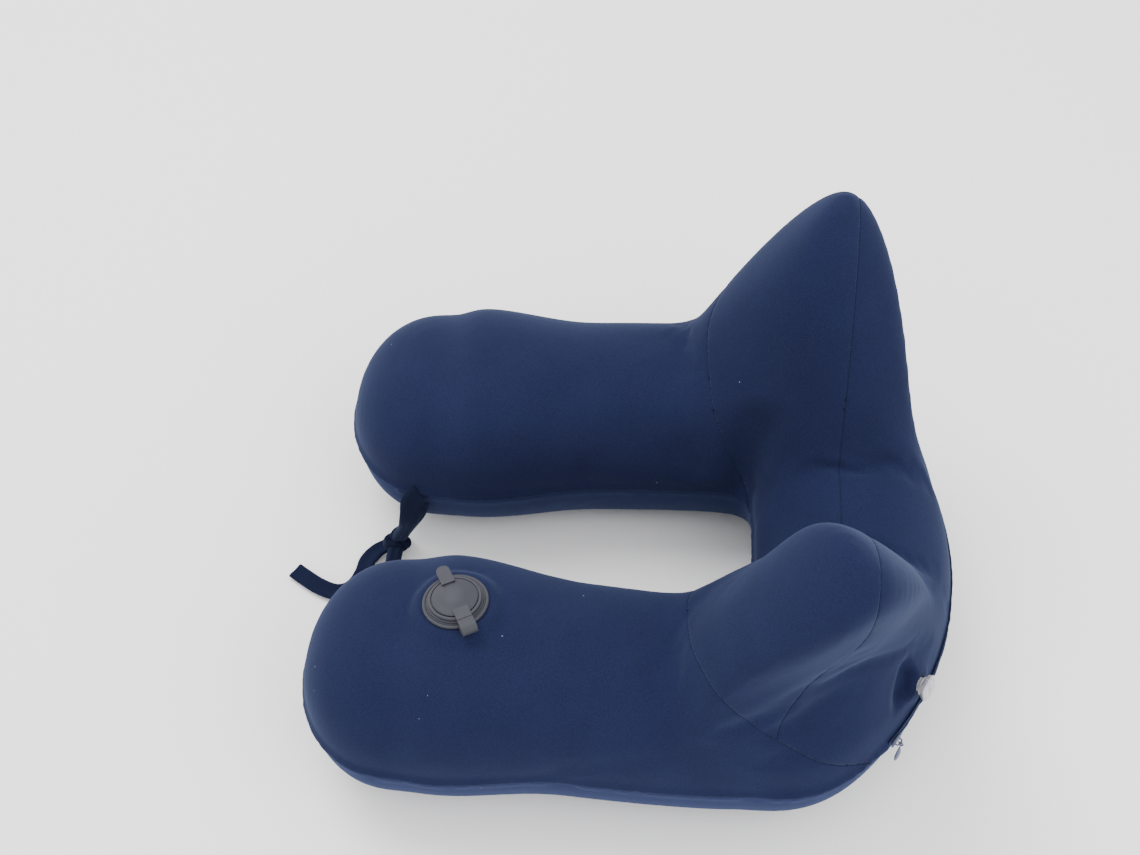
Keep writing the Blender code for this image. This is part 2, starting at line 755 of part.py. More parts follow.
def build_zip():
    coil_start = TRACK_START + STOP_TURN
    coil_end = TRACK_END - STOP_TURN
    tape_inner = BACK_RADIUS - COIL_DEPTH - TAPE_THICKNESS / 2
    tape_outer = BACK_RADIUS - COIL_DEPTH + TAPE_THICKNESS / 2
    tape_low = COIL_CENTRE + COIL_RADIUS + GAP
    tape_high = tape_low + TAPE_WIDTH
    for label, sign in (("upper", 1.0), ("lower", -1.0)):
        arc_tube(
            f"zip_coil_{label}",
            coil_start,
            coil_end,
            COIL_DEPTH,
            sign * COIL_CENTRE,
            COIL_RADIUS,
            ZIP_BLUE,
        )
        low, high = sorted((sign * tape_low, sign * tape_high))
        name = f"zip_tape_{label}"
        margin = GAP / BACK_RADIUS
        turns = (TRACK_START + margin, TRACK_END - margin)
        tape = sector_mesh(name, turns, (tape_inner, tape_outer), (low, high), TAPE_STEPS)
        add_object(name, tape, ZIP_BLUE, 0.8)
    half = COIL_CENTRE + COIL_RADIUS
    for label, middle in (
        ("start", TRACK_START + STOP_LENGTH / 2 / BACK_RADIUS + GAP / BACK_RADIUS),
        ("end", TRACK_END - STOP_LENGTH / 2 / BACK_RADIUS - GAP / BACK_RADIUS),
    ):
        name = f"zip_stop_{label}"
        corner = Vector((COIL_RADIUS, STOP_LENGTH / 2, half))
        block = box_mesh(name, -corner, corner)
        stop = add_object(name, block, ZIP_METAL, 0.35, 0.8)
        stop.matrix_world = track_frame(middle, COIL_DEPTH)
    build_slider()


def build_slider():
    """Slider on its track: a front and a rear plate joined by a web between the coils."""
    track = add_empty("zip_track", Matrix.Translation(TRACK_CENTRE))
    in_track = Matrix.Translation(-TRACK_CENTRE) @ track_frame(SLIDER_TURN)
    seat = add_empty("slider_seat", in_track, track)
    front = COIL_RADIUS - COIL_DEPTH + GAP
    rear = -COIL_RADIUS - COIL_DEPTH - GAP
    outline = (
        (front, -SLIDER_HALF_HEIGHT),
        (front + SLIDER_PLATE, -SLIDER_HALF_HEIGHT),
        (front + SLIDER_PLATE, SLIDER_HALF_HEIGHT),
        (front, SLIDER_HALF_HEIGHT),
        (front, SLIDER_WEB_HALF),
        (rear, SLIDER_WEB_HALF),
        (rear, SLIDER_REAR_HALF_HEIGHT),
        (rear - SLIDER_PLATE, SLIDER_REAR_HALF_HEIGHT),
        (rear - SLIDER_PLATE, -SLIDER_REAR_HALF_HEIGHT),
        (rear, -SLIDER_REAR_HALF_HEIGHT),
        (rear, -SLIDER_WEB_HALF),
        (front, -SLIDER_WEB_HALF),
    )
    half = SLIDER_LENGTH / 2
    body = prism_mesh("zip_slider", outline, (0.0, 0.0, -half), (0.0, 0.0, half))
    body.transform(Matrix.Rotation(math.pi / 2, 4, "X"))
    slider = add_object("zip_slider", body, ZIP_METAL, 0.35, 0.8, seat)
    face = front + SLIDER_PLATE
    bail = curve_mesh("bail", bail_route(face), BAIL_WIRE, 3)
    add_boolean(slider, add_cutter("bail", bail, seat), "UNION")
    build_pull(seat, face + BAIL_REACH)


def bail_route(face):
    """A small arch on the slider's face, its bar along the track."""
    root = face - SLIDER_PLATE / 2
    top = face + BAIL_REACH
    corner = 0.0007
    points = [Vector((root, -BAIL_HALF_SPAN, 0.0))]
    for i in range(4):
        angle = math.pi / 2 * i / 3
        points.append(
            Vector(
                (
                    top - corner + corner * math.sin(angle),
                    -BAIL_HALF_SPAN + corner - corner * math.cos(angle),
                    0.0,
                )
            )
        )
    points += [Vector((point.x, -point.y, 0.0)) for point in reversed(points)]
    return points


def curve_mesh(name, points, radius, resolution, closed=False):
    """A round wire along points, as a welded mesh."""
    curve = bpy.data.curves.new(name + "_route", "CURVE")
    curve.dimensions = "3D"
    curve.bevel_depth = radius
    curve.bevel_resolution = resolution
    curve.use_fill_caps = not closed
    spline = curve.splines.new("POLY")
    spline.points.add(len(points) - 1)
    for target, point in zip(spline.points, points):
        target.co = (*point, 1.0)
    spline.use_cyclic_u = closed
    holder = bpy.data.objects.new(name + "_route", curve)
    bpy.context.scene.collection.objects.link(holder)
    bpy.context.view_layer.update()
    evaluated = holder.evaluated_get(bpy.context.evaluated_depsgraph_get())
    mesh = bpy.data.meshes.new_from_object(evaluated)
    mesh.name = name
    weld = bmesh.new()
    weld.from_mesh(mesh)
    bmesh.ops.remove_doubles(weld, verts=weld.verts, dist=0.00001)
    bmesh.ops.recalc_face_normals(weld, faces=weld.faces[:])
    weld.to_mesh(mesh)
    weld.free()
    bpy.data.objects.remove(holder, do_unlink=True)
    bpy.data.curves.remove(curve)
    return mesh


def build_pull(seat, reach):
    """A drop-shaped pull hanging by its ring from the bail's bar."""
    pivot = add_empty("pull_pivot", Matrix.Translation((reach, 0.0, 0.0)), seat)
    sag = PULL_RING - PULL_WIRE - BAIL_WIRE - GAP
    ring_points = []
    for i in range(14):
        angle = 2.0 * math.pi * i / 14
        ring_points.append(
            Vector((PULL_RING * math.cos(angle), 0.0, PULL_RING * math.sin(angle) - sag))
        )
    ring = curve_mesh("pull_ring", ring_points, PULL_WIRE, 1, closed=True)
    top = -sag - PULL_RING
    bottom = -PULL_LENGTH
    drop = [(0.0, top + PULL_WIRE / 2)]
    for i in range(1, 9):
        t = i / 9
        width = PULL_RADIUS * math.sin(math.pi * t**1.35) ** 0.8 + 0.0004 * (1.0 - t)
        drop.append((width, top + (bottom - top) * t))
    drop.append((0.0, bottom))
    pull = lathe("zip_pull", drop, ZIP_METAL, 0.3, pivot, steps=12)
    add_boolean(pull, add_cutter("pull_ring", ring, pivot), "UNION")


# ---------------------------------------------------------------- flip valve


def hole_cutter(name, radius, seat, depth, rise):
    profile = [(0.0, rise), (radius, rise), (radius, -depth), (0.0, -depth)]
    return lathe(name, profile, None, None, seat, steps=24, cutter=True)


def build_valve(seat):
    """Flip valve in three tiers: welded body, large plug with its flap, and cap."""
    face = GAP                       # underside of the flange, on the cover
    flange_top = face + FLANGE_THICKNESS
    seat_top = flange_top + SEAT_STEP
    weld_top = VALVE_WELD_TOP
    weld_low = weld_top - WELD_THICKNESS
    body_profile = [
        (NECK_BORE, seat_top),
        (SEAT_RADIUS, seat_top),
        (SEAT_RADIUS, flange_top),
        (FLANGE_RADIUS - 0.0006, flange_top),
        (FLANGE_RADIUS, flange_top - 0.0006),
        (FLANGE_RADIUS, face),
        (NECK_RADIUS, face),
        (NECK_RADIUS, weld_top),
        (WELD_RADIUS, weld_top),
        (WELD_RADIUS, weld_low),
        (NECK_RADIUS, weld_low),
        (NECK_RADIUS, -NECK_LENGTH),
        (NECK_BORE, -NECK_LENGTH),
    ]
    lathe("valve_body", body_profile, VALVE_GREY, 0.55, seat, steps=28, closed=True)
    build_plug(seat, seat_top)


def build_plug(seat, seat_top):
    low = seat_top + GAP
    plug_top = low + PLUG_THICKNESS
    hinge_at = Vector((SEAT_RADIUS + 0.0014, 0.0, low))
    hinge = add_empty("plug_hinge", Matrix.Translation(hinge_at), seat)
    skirt_low = seat_top - PLUG_SKIRT_DEPTH
    ring_inner = CAP_RADIUS + 2.0 * GAP
    profile = [
        (PLUG_BORE, plug_top - RECESS),
        (ring_inner, plug_top - RECESS),
        (ring_inner, plug_top),
        (PLUG_RADIUS - 0.0005, plug_top),
        (PLUG_RADIUS, plug_top - 0.0005),
        (PLUG_RADIUS, low),
        (PLUG_SKIRT, low),
        (PLUG_SKIRT, skirt_low),
        (PLUG_BORE, skirt_low),
    ]
    plug = lathe("valve_plug", profile, VALVE_GREY, 0.55, hinge, steps=24, closed=True)
    plug.location = -hinge_at
    strap = rounded_bar_mesh(
        "plug_strap",
        PLUG_RADIUS - 0.0012,
        FLANGE_RADIUS - 0.0006,
        STRAP_WIDTH / 2,
        low,
        low + TAB_THICKNESS,
        False,
    )
    strap_cutter = add_cutter("plug_strap", strap, hinge)
    strap_cutter.location = plug.location
    add_boolean(plug, strap_cutter, "UNION")
    flap_top = skirt_low - GAP
    flap_profile = [
        (0.0, flap_top),
        (FLAP_RADIUS, flap_top),
        (FLAP_RADIUS, flap_top - FLAP_THICKNESS),
        (0.0, flap_top - FLAP_THICKNESS),
    ]
    flap = lathe("valve_check_flap", flap_profile, CLEAR, 0.4, hinge, steps=16)
    flap.location = plug.location
    build_cap(hinge, plug.location, plug_top - RECESS)


def build_cap(hinge, origin, floor):
    """Cap on the plug's recess, its lift tab opposite its hinge."""
    low = floor + GAP
    tab_low = floor + RECESS + GAP
    pivot_x = PLUG_RADIUS + CAP_PIVOT_REACH
    pivot_z = tab_low + TAB_THICKNESS / 2
    cap_hinge_at = Vector(origin) + Vector((pivot_x, 0.0, pivot_z))
    cap_hinge = add_empty("cap_hinge", Matrix.Translation(cap_hinge_at), hinge)
    spigot_low = floor - SPIGOT_DEPTH
    rim = low + 0.0008
    profile = [(0.0, rim + CAP_RISE)]
    for i in range(1, 6):
        t = i / 6
        profile.append((CAP_RADIUS * 0.86 * t, rim + CAP_RISE * (1.0 - t**2.2)))
    profile += [
        (CAP_RADIUS - 0.0004, rim + 0.0002),
        (CAP_RADIUS, rim - 0.0002),
        (CAP_RADIUS, low),
        (SPIGOT_RADIUS, low),
        (SPIGOT_RADIUS, spigot_low),
        (0.0, spigot_low),
    ]
    cap = lathe("valve_cap", profile, VALVE_GREY, 0.5, cap_hinge, steps=24)
    cap.location = (-pivot_x, 0.0, -pivot_z)
    tab = rounded_bar_mesh(
        "cap_tab", CAP_RADIUS - 0.0030, TAB_REACH, TAB_WIDTH / 2, tab_low, tab_low + TAB_THICKNESS, True
    )
    tab.transform(Matrix.Rotation(math.pi, 4, "Z"))
    strap = rounded_bar_mesh(
        "cap_strap",
        CAP_RADIUS - 0.0030,
        pivot_x + TAB_THICKNESS / 2,
        STRAP_WIDTH / 2 - 0.0004,
        tab_low,
        tab_low + TAB_THICKNESS,
        False,
    )
    for label, mesh in (("cap_tab", tab), ("cap_strap", strap)):
        cutter = add_cutter(label, mesh, cap_hinge)
        cutter.location = cap.location
        add_boolean(cap, cutter, "UNION")


# ---------------------------------------------------------------- mouth valve


def build_mouth_valve(seat):
    """Soft clear stem through the cover with its tethered stopper and inner flap."""
    weld_top = MOUTH_WELD_TOP
    weld_low = weld_top - WELD_THICKNESS
    stem_profile = [
        (STEM_BORE, STEM_OUT),
        (STEM_LIP - 0.0003, STEM_OUT),
        (STEM_LIP, STEM_OUT - 0.0003),
        (STEM_LIP, STEM_OUT - STEM_LIP_THICKNESS),
        (STEM_RADIUS, STEM_OUT - STEM_LIP_THICKNESS - 0.0006),
        (STEM_RADIUS, weld_top),
        (STEM_WELD_RADIUS, weld_top),
        (STEM_WELD_RADIUS, weld_low),
        (STEM_RADIUS, weld_low),
        (STEM_RADIUS, -STEM_IN),
        (STEM_BORE, -STEM_IN),
    ]
    lathe("mouth_valve_stem", stem_profile, CLEAR, 0.15, seat, steps=16, closed=True)
    flap_top = -STEM_IN - GAP
    flap_profile = [
        (0.0, flap_top),
        (STEM_RADIUS, flap_top),
        (STEM_RADIUS, flap_top - FLAP_THICKNESS),
        (0.0, flap_top - FLAP_THICKNESS),
    ]
    lathe("mouth_valve_flap", flap_profile, CLEAR, 0.2, seat, steps=16)
    low = STEM_OUT + GAP
    hinge_at = Vector((STOPPER_HINGE, 0.0, low))
    hinge = add_empty("stopper_hinge", Matrix.Translation(hinge_at), seat)
    top = low + STOPPER_THICKNESS
    profile = [
        (0.0, top),
        (STOPPER_RADIUS - 0.0008, top),
        (STOPPER_RADIUS, top - 0.0008),
        (STOPPER_RADIUS, low),
        (STOPPER_SPIGOT, low),
        (STOPPER_SPIGOT, low - STOPPER_SPIGOT_DEPTH),
        (0.0, low - STOPPER_SPIGOT_DEPTH),
    ]
    stopper = lathe("mouth_valve_stopper", profile, CLEAR, 0.15, hinge, steps=16)
    stopper.location = -hinge_at
    tether = rounded_bar_mesh(
        "tether", STOPPER_RADIUS - 0.0015, STOPPER_HINGE + 0.0008, 0.0016, low, low + 0.0010, False
    )
    tether_cutter = add_cutter("tether", tether, hinge)
    tether_cutter.location = stopper.location
    add_boolean(stopper, tether_cutter, "UNION")


# ---------------------------------------------------------------- tie straps


def smooth_route(points, spacing):
    """Points read every so often from a smooth curve through the route's own points."""
    ends = [points[0] * 2.0 - points[1]] + points + [points[-1] * 2.0 - points[-2]]
    dense = []
    for i in range(1, len(ends) - 2):
        a, b, c, d = ends[i - 1 : i + 3]
        for k in range(24):
            t = k / 24
            dense.append(
                0.5
                * (
                    2.0 * b
                    + (c - a) * t
                    + (2.0 * a - 5.0 * b + 4.0 * c - d) * t * t
                    + (3.0 * b - a - 3.0 * c + d) * t**3
                )
            )
    dense.append(points[-1])
    run = [0.0]
    for a, b in zip(dense[:-1], dense[1:]):
        run.append(run[-1] + (b - a).length)
    count = max(4, round(run[-1] / spacing))
    route = []
    for i in range(count + 1):
        at = run[-1] * i / count
        route.append(Vector([np.interp(at, run, [p[axis] for p in dense]) for axis in range(3)]))
    return route


KNOT = Vector((-0.0280, -0.1580, KNOT_RADIUS + 0.0012))


def from_knot(direction, distance):
    """A point straight out of the knot, a distance from its surface."""
    return KNOT + Vector(direction).normalized() * (KNOT_RADIUS + GAP + distance)


LEFT_ROUTE = (
    (-0.0286, -0.1431, 0.0545),
    (-0.0258, -0.1445, 0.0470),
    (-0.0246, -0.1470, 0.0390),
    from_knot((0.10, 0.42, 1.0), 0.0090),
    from_knot((0.10, 0.42, 1.0), 0.0),
)
RIGHT_ROUTE = (
    from_knot((1.0, -0.10, -0.30), 0.0),
    from_knot((1.0, -0.10, -0.30), 0.0060),
    (-0.0045, -0.1600, 0.0046),
    (0.0030, -0.1600, 0.0052),
    (0.0130, -0.1560, 0.0105),
    (0.0190, -0.1510, 0.0215),
    (0.0224, -0.1465, 0.0350),
    (0.0256, -0.1440, 0.0470),
    (0.0286, -0.1431, 0.0545),
)
TAIL_ROUTE = (
    from_knot((0.35, -0.85, -0.36), 0.0),
    from_knot((0.35, -0.85, -0.36), 0.0050),
    (-0.0150, -0.1765, 0.0040),
    (-0.0060, -0.1780, 0.0040),
    (0.0060, -0.1830, 0.0040),
    (0.0105, -0.1930, 0.0040),
    (0.0060, -0.2060, 0.0040),
    (-0.0050, -0.2230, 0.0040),
)


def cord_tube(name, route, radius):
    curve = bpy.data.curves.new(name, "CURVE")
    curve.dimensions = "3D"
    curve.bevel_depth = radius
    curve.bevel_resolution = 2
    curve.use_fill_caps = True
    points = smooth_route([Vector(point) for point in route], CORD_STEP)
    spline = curve.splines.new("POLY")
    spline.points.add(len(points) - 1)
    for target, point in zip(spline.points, points):
        target.co = (*point, 1.0)
    return add_object(name, curve, NAVY_BAND, CLOTH_ROUGHNESS)


def build_ties():
    cord_tube("tie_strap_left", LEFT_ROUTE, STRAP_RADIUS)
    cord_tube("tie_strap_right", RIGHT_ROUTE, STRAP_RADIUS)
    cord_tube("tie_strap_tail", TAIL_ROUTE, TAIL_RADIUS)
    knot = bmesh.new()
    bmesh.ops.create_uvsphere(knot, u_segments=12, v_segments=8, radius=KNOT_RADIUS)
    mesh = bpy.data.meshes.new("tie_knot")
    knot.to_mesh(mesh)
    knot.free()
    piece = add_object("tie_knot", mesh, NAVY, 0.9)
    piece.location = KNOT


# ---------------------------------------------------------------- assembly


def build():
    valve_frame = add_empty("valve_seat", VALVE_SEAT)
    mouth_frame = add_empty("mouth_seat", MOUTH_SEAT)
    valve_hole = hole_cutter("valve_hole", NECK_RADIUS + GAP, valve_frame, 0.020, 0.010)
    mouth_hole = hole_cutter("mouth_hole", STEM_RADIUS + GAP, mouth_frame, 0.012, 0.010)
    below, under = build_cover(valve_hole, mouth_hole)
    build_bladder(below, under, valve_hole, mouth_hole)
    build_zip()
    build_valve(valve_frame)
    build_mouth_valve(mouth_frame)
    build_ties()


build()
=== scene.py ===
import json
import math

import bmesh
import bpy
import numpy as np
from mathutils import Matrix, Vector, kdtree, noise


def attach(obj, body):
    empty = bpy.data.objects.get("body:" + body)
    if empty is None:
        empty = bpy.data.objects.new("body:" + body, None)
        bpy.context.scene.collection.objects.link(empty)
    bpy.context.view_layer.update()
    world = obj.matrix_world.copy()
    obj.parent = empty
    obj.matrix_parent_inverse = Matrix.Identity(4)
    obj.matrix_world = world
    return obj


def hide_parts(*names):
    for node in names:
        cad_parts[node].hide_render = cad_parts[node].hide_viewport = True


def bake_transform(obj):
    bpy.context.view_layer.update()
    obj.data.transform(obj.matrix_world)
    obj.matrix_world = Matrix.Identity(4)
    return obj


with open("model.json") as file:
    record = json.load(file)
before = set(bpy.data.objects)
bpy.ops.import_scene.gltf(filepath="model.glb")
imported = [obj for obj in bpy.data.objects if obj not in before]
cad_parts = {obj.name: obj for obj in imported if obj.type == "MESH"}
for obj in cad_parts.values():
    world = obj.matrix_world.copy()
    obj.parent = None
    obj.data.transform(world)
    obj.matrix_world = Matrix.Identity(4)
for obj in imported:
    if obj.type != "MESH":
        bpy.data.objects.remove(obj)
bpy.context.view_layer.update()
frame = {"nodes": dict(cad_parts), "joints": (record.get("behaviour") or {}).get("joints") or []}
joints = {joint["name"]: joint for joint in frame["joints"]}
print("frame loaded,", len(frame["nodes"]), "nodes")


def addPiece(name, shape, smooth=True):
    mesh = bpy.data.meshes.new(name)
    shape.to_mesh(mesh)
    shape.free()
    piece = bpy.data.objects.new(name, mesh)
    bpy.context.scene.collection.objects.link(piece)
    if smooth:
        mesh.shade_smooth()
    return piece


def bake(piece):
    # the piece's modifiers become its mesh
    bpy.context.view_layer.update()
    seen = piece.evaluated_get(bpy.context.evaluated_depsgraph_get())
    mesh = bpy.data.meshes.new_from_object(seen)
    old = piece.data
    piece.modifiers.clear()
    piece.data = mesh
    bpy.data.meshes.remove(old)
    return piece


def addBevel(piece, width, segments=2, angle=35.0):
    bevel = piece.modifiers.new("bevel", "BEVEL")
    bevel.width = width
    bevel.segments = segments
    bevel.limit_method = "ANGLE"
    bevel.angle_limit = math.radians(angle)
    return piece


def readPoints(mesh):
    flat = np.empty(len(mesh.vertices) * 3)
    mesh.vertices.foreach_get("co", flat)
    return flat.reshape(-1, 3)


def writePoints(mesh, points):
    mesh.vertices.foreach_set("co", np.ascontiguousarray(points, dtype=float).ravel())
    mesh.update()


def smoothStep(start, end, at):
    t = np.clip((np.asarray(at, float) - start) / (end - start), 0.0, 1.0)
    return t * t * (3.0 - 2.0 * t)


def finish(piece, body, material, slot, *nodes):
    piece.data.materials.clear()
    piece.data.materials.append(material)
    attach(piece, body)
    if nodes:
        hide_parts(*nodes)
    return piece


# materials

def plain(name, colour, roughness, **values):
    material = bpy.data.materials.new(name)
    material.use_nodes = True
    shader = material.node_tree.nodes["Principled BSDF"]
    shader.inputs["Base Color"].default_value = (*colour, 1.0)
    shader.inputs["Roughness"].default_value = roughness
    for socket, value in values.items():
        shader.inputs[socket.replace("_", " ")].default_value = value
    return material


def addNode(material, kind, inputs, **settings):
    node = material.node_tree.nodes.new(kind)
    for key, value in settings.items():
        setattr(node, key, value)
    for key, value in inputs.items():
        if isinstance(value, bpy.types.NodeSocket):
            material.node_tree.links.new(value, node.inputs[key])
        else:
            node.inputs[key].default_value = value
    return node


def remap(material, value, low, high, start=0.3, end=0.7):
    inputs = {"Value": value, "From Min": start, "From Max": end, "To Min": low, "To Max": high}
    return addNode(material, "ShaderNodeMapRange", inputs).outputs["Result"]


def times(material, first, second):
    return addNode(material, "ShaderNodeMath", {0: first, 1: second}, operation="MULTIPLY").outputs["Value"]


def noiseAt(material, scale, detail, sort="ShaderNodeTexNoise"):
    place = addNode(material, "ShaderNodeTexCoord", {}).outputs["Object"]
    inputs = {"Vector": place, "Scale": scale, "Detail": detail}
    return addNode(material, sort, inputs).outputs["Fac"]


def tinted(material, colour, strength):
    inputs = {0: colour, "Scale": strength}
    return addNode(material, "ShaderNodeVectorMath", inputs, operation="SCALE").outputs["Vector"]


def join(material, socket, target):
    shader = material.node_tree.nodes["Principled BSDF"]
    material.node_tree.links.new(socket, shader.inputs[target])


def bumpFrom(material, height, strength, distance):
    inputs = {"Height": height, "Strength": strength, "Distance": distance}
    join(material, addNode(material, "ShaderNodeBump", inputs).outputs["Normal"], "Normal")


knit = {
    "colour": (0.0092, 0.0122, 0.0385),
    # the base band's knit in a lighter tone: painted sheen standing in for its lit edge at grazing angles
    "bandPaintedSheenColour": (0.0150, 0.0205, 0.0620),
    "strapColour": (0.0165, 0.0235, 0.0620),
    "knotColour": (0.0135, 0.0185, 0.0500),
    "sheen": 0.10,
    "sheenRoughness": 0.45,
    "sheenTint": (0.45, 0.60, 1.0, 1.0),
    "pileScale": 1500.0,
    "loopScale": 1100.0,
    "pileHeight": 0.00012,
    "lintScale": 85.0,
    "lintSize": 0.028,
    "lintShare": 0.22,
    "lintColour": (0.42, 0.47, 0.60, 1.0),
    # painted shade along the seams: how dark the knit's tone gets right at a seam, and the distance it fades
    # over
    "seamPaintedShade": 0.40,
    "seamShadeWidth": 0.0009,
}


def knitFabric(name, colour, lint=True):
    values = {
        "Sheen_Weight": knit["sheen"],
        "Sheen_Roughness": knit["sheenRoughness"],
        "Sheen_Tint": knit["sheenTint"],
        "Specular_IOR_Level": 0.06,
    }
    material = plain(name, colour, 0.95, **values)
    place = addNode(material, "ShaderNodeTexCoord", {}).outputs["Object"]
    pile = noiseAt(material, knit["pileScale"], 3.0)
    cloud = noiseAt(material, 38.0, 4.0)
    loopInputs = {"Vector": place, "Scale": knit["loopScale"]}
    loops = addNode(material, "ShaderNodeTexVoronoi", loopInputs).outputs["Distance"]
    grain = remap(material, pile, 0.78, 1.22)
    drift = remap(material, cloud, 0.94, 1.06)
    # painted shade: the tone is darkened near each seam line, standing in for the shadow in the seam's
    # groove
    seam = addNode(material, "ShaderNodeAttribute", {}, attribute_name="seamDistance").outputs["Fac"]
    seamShade = remap(material, seam, knit["seamPaintedShade"], 1.0, 0.0, knit["seamShadeWidth"])
    tone = tinted(material, colour, times(material, times(material, grain, drift), seamShade))
    if lint:
        speckInputs = {"Vector": place, "Scale": knit["lintScale"]}
        specks = addNode(material, "ShaderNodeTexVoronoi", speckInputs)
        small = {0: specks.outputs["Distance"], 1: knit["lintSize"]}
        near = addNode(material, "ShaderNodeMath", small, operation="LESS_THAN").outputs["Value"]
        lot = addNode(material, "ShaderNodeSeparateColor", {"Color": specks.outputs["Color"]})
        chosen = {0: lot.outputs["Red"], 1: knit["lintShare"]}
        some = addNode(material, "ShaderNodeMath", chosen, operation="LESS_THAN").outputs["Value"]
        share = times(material, times(material, near, some), 0.45)
        blend = {0: share, 6: tone, 7: knit["lintColour"]}
        mix = addNode(material, "ShaderNodeMix", blend, data_type="RGBA")
        tone = mix.outputs[2]
    join(material, tone, "Base Color")
    height = addNode(material, "ShaderNodeMath", {0: loops, 1: pile}, operation="ADD").outputs["Value"]
    bumpFrom(material, height, 0.5, knit["pileHeight"])
    return material


def moulded(name, colour, roughness, **values):
    # soft moulded plastic: a faint mottle in tone and gloss, and a fine grain
    material = plain(name, colour, roughness, **values)
    mottle = noiseAt(material, 160.0, 4.0)
    join(material, remap(material, mottle, roughness - 0.06, roughness + 0.08), "Roughness")
    join(material, tinted(material, colour, remap(material, mottle, 0.92, 1.08)), "Base Color")
    bumpFrom(material, noiseAt(material, 2200.0, 2.0), 0.3, 0.00006)
    return material


finishes = {
    "cover": knitFabric("navyKnit", knit["colour"]),
    # painted sheen: the cover's knit in a lighter tone for the base band, also used for the strap tail
    "band": knitFabric("paleNavyKnit", knit["bandPaintedSheenColour"]),
    "strap": knitFabric("strapKnit", knit["strapColour"]),
    "knot": knitFabric("knotKnit", knit["knotColour"]),
    "rubber": moulded("greyRubber", (0.0265, 0.0275, 0.0370), 0.55, Specular_IOR_Level=0.30),
    "film": moulded("weldedFilm", (0.40, 0.42, 0.46), 0.35),
    # pale tone of the clear vinyl: partly its own milky look in thick folds, partly painted highlight
    "clear": moulded("clearVinyl", (0.62, 0.61, 0.66), 0.22, Transmission_Weight=0.45, IOR=1.5),
    "tape": knitFabric("zipTape", (0.018, 0.028, 0.075), False),
    "coil": moulded("zipCoil", (0.020, 0.030, 0.080), 0.38),
    "metal": moulded("paintedMetal", (0.075, 0.090, 0.160), 0.33, Metallic=0.55),
}
print("materials made:", len(finishes))

# camera, floor and lights
studio = {
    "cameraAt": (0.5875, -0.0020, 0.8920),
    "lookAt": (-0.0338, -0.0449, 0.1300),
    "lens": 51.8,
    "floorColour": (0.93, 0.93, 0.93),
    "skyStrength": 1.90,
    "keyPower": 26.0,
    "fillPower": 12.0,
}


def aim(thing, target):
    direction = Vector(target) - thing.location
    thing.rotation_euler = direction.to_track_quat("-Z", "Y").to_euler()


def softLight(name, place, target, size, power):
    data = bpy.data.lights.new(name, "AREA")
    data.shape = "DISK"
    data.size = size
    data.energy = power
    lamp = bpy.data.objects.new(name, data)
    bpy.context.scene.collection.objects.link(lamp)
    lamp.location = place
    aim(lamp, target)
    return lamp


def setUpStudio():
    lens = bpy.data.cameras.new("camera")
    lens.lens = studio["lens"]
    lens.sensor_width = 36.0
    lens.clip_start = 0.01
    camera = bpy.data.objects.new("camera", lens)
    bpy.context.scene.collection.objects.link(camera)
    camera.location = studio["cameraAt"]
    aim(camera, studio["lookAt"])
    bpy.context.scene.camera = camera
    ground = bmesh.new()
    bmesh.ops.create_grid(ground, x_segments=1, y_segments=1, size=6.0)
    bmesh.ops.translate(ground, verts=ground.verts, vec=(0.0, 0.0, -0.0003))
    floor = addPiece("floor", ground)
    floor.data.materials.append(plain("paper", studio["floorColour"], 0.9))
    world = bpy.data.worlds.new("softbox")
    world.use_nodes = True
    background = world.node_tree.nodes["Background"]
    background.inputs["Color"].default_value = (1.0, 1.0, 1.0, 1.0)
    background.inputs["Strength"].default_value = studio["skyStrength"]
    bpy.context.scene.world = world
    middle = (0.0, 0.0, 0.08)
    softLight("key", (-0.55, -0.75, 1.70), middle, 1.1, studio["keyPower"])
    softLight("fill", (0.85, 0.95, 1.20), middle, 1.3, studio["fillPower"])


setUpStudio()
print("camera and lights ready")

# tie straps: one flat strap from arm to arm through its knot, and the knot's loose tail
ties = {
    "knotAt": (-0.0280, -0.1580, 0.0107),
    "knotRadius": 0.0098,
    "topWidth": 0.0190,
    "width": 0.0100,
    "thickness": 0.0036,
    "tailWidth": 0.0115,
    "tailThickness": 0.0026,
    "step": 0.0010,
    "around": 40,
}


def offKnot(direction, distance):
    return Vector(ties["knotAt"]) + Vector(direction).normalized() * (ties["knotRadius"] + distance)


def smoothRoute(points, spacing):
    # an even walk along a smooth curve through the points
    points = [Vector(point) for point in points]
    padded = [2.0 * points[0] - points[1]] + points + [2.0 * points[-1] - points[-2]]
    dense = []
    for before, start, end, after in zip(padded[:-3], padded[1:-2], padded[2:-1], padded[3:]):
        for k in range(24):
            t = k / 24
            dense.append(
                0.5
                * (
                    2.0 * start
                    + (end - before) * t
                    + (2.0 * before - 5.0 * start + 4.0 * end - after) * t * t
                    + (3.0 * start - before - 3.0 * end + after) * t**3
                )
            )
    dense.append(points[-1])
    flat = np.array([tuple(point) for point in dense])
    run = np.r_[0.0, np.cumsum(np.linalg.norm(np.diff(flat, axis=0), axis=1))]
    count = max(2, int(round(run[-1] / spacing)))
    even = np.linspace(0.0, run[-1], count + 1)
    return np.stack([np.interp(even, run, flat[:, axis]) for axis in range(3)], axis=1), run[-1]


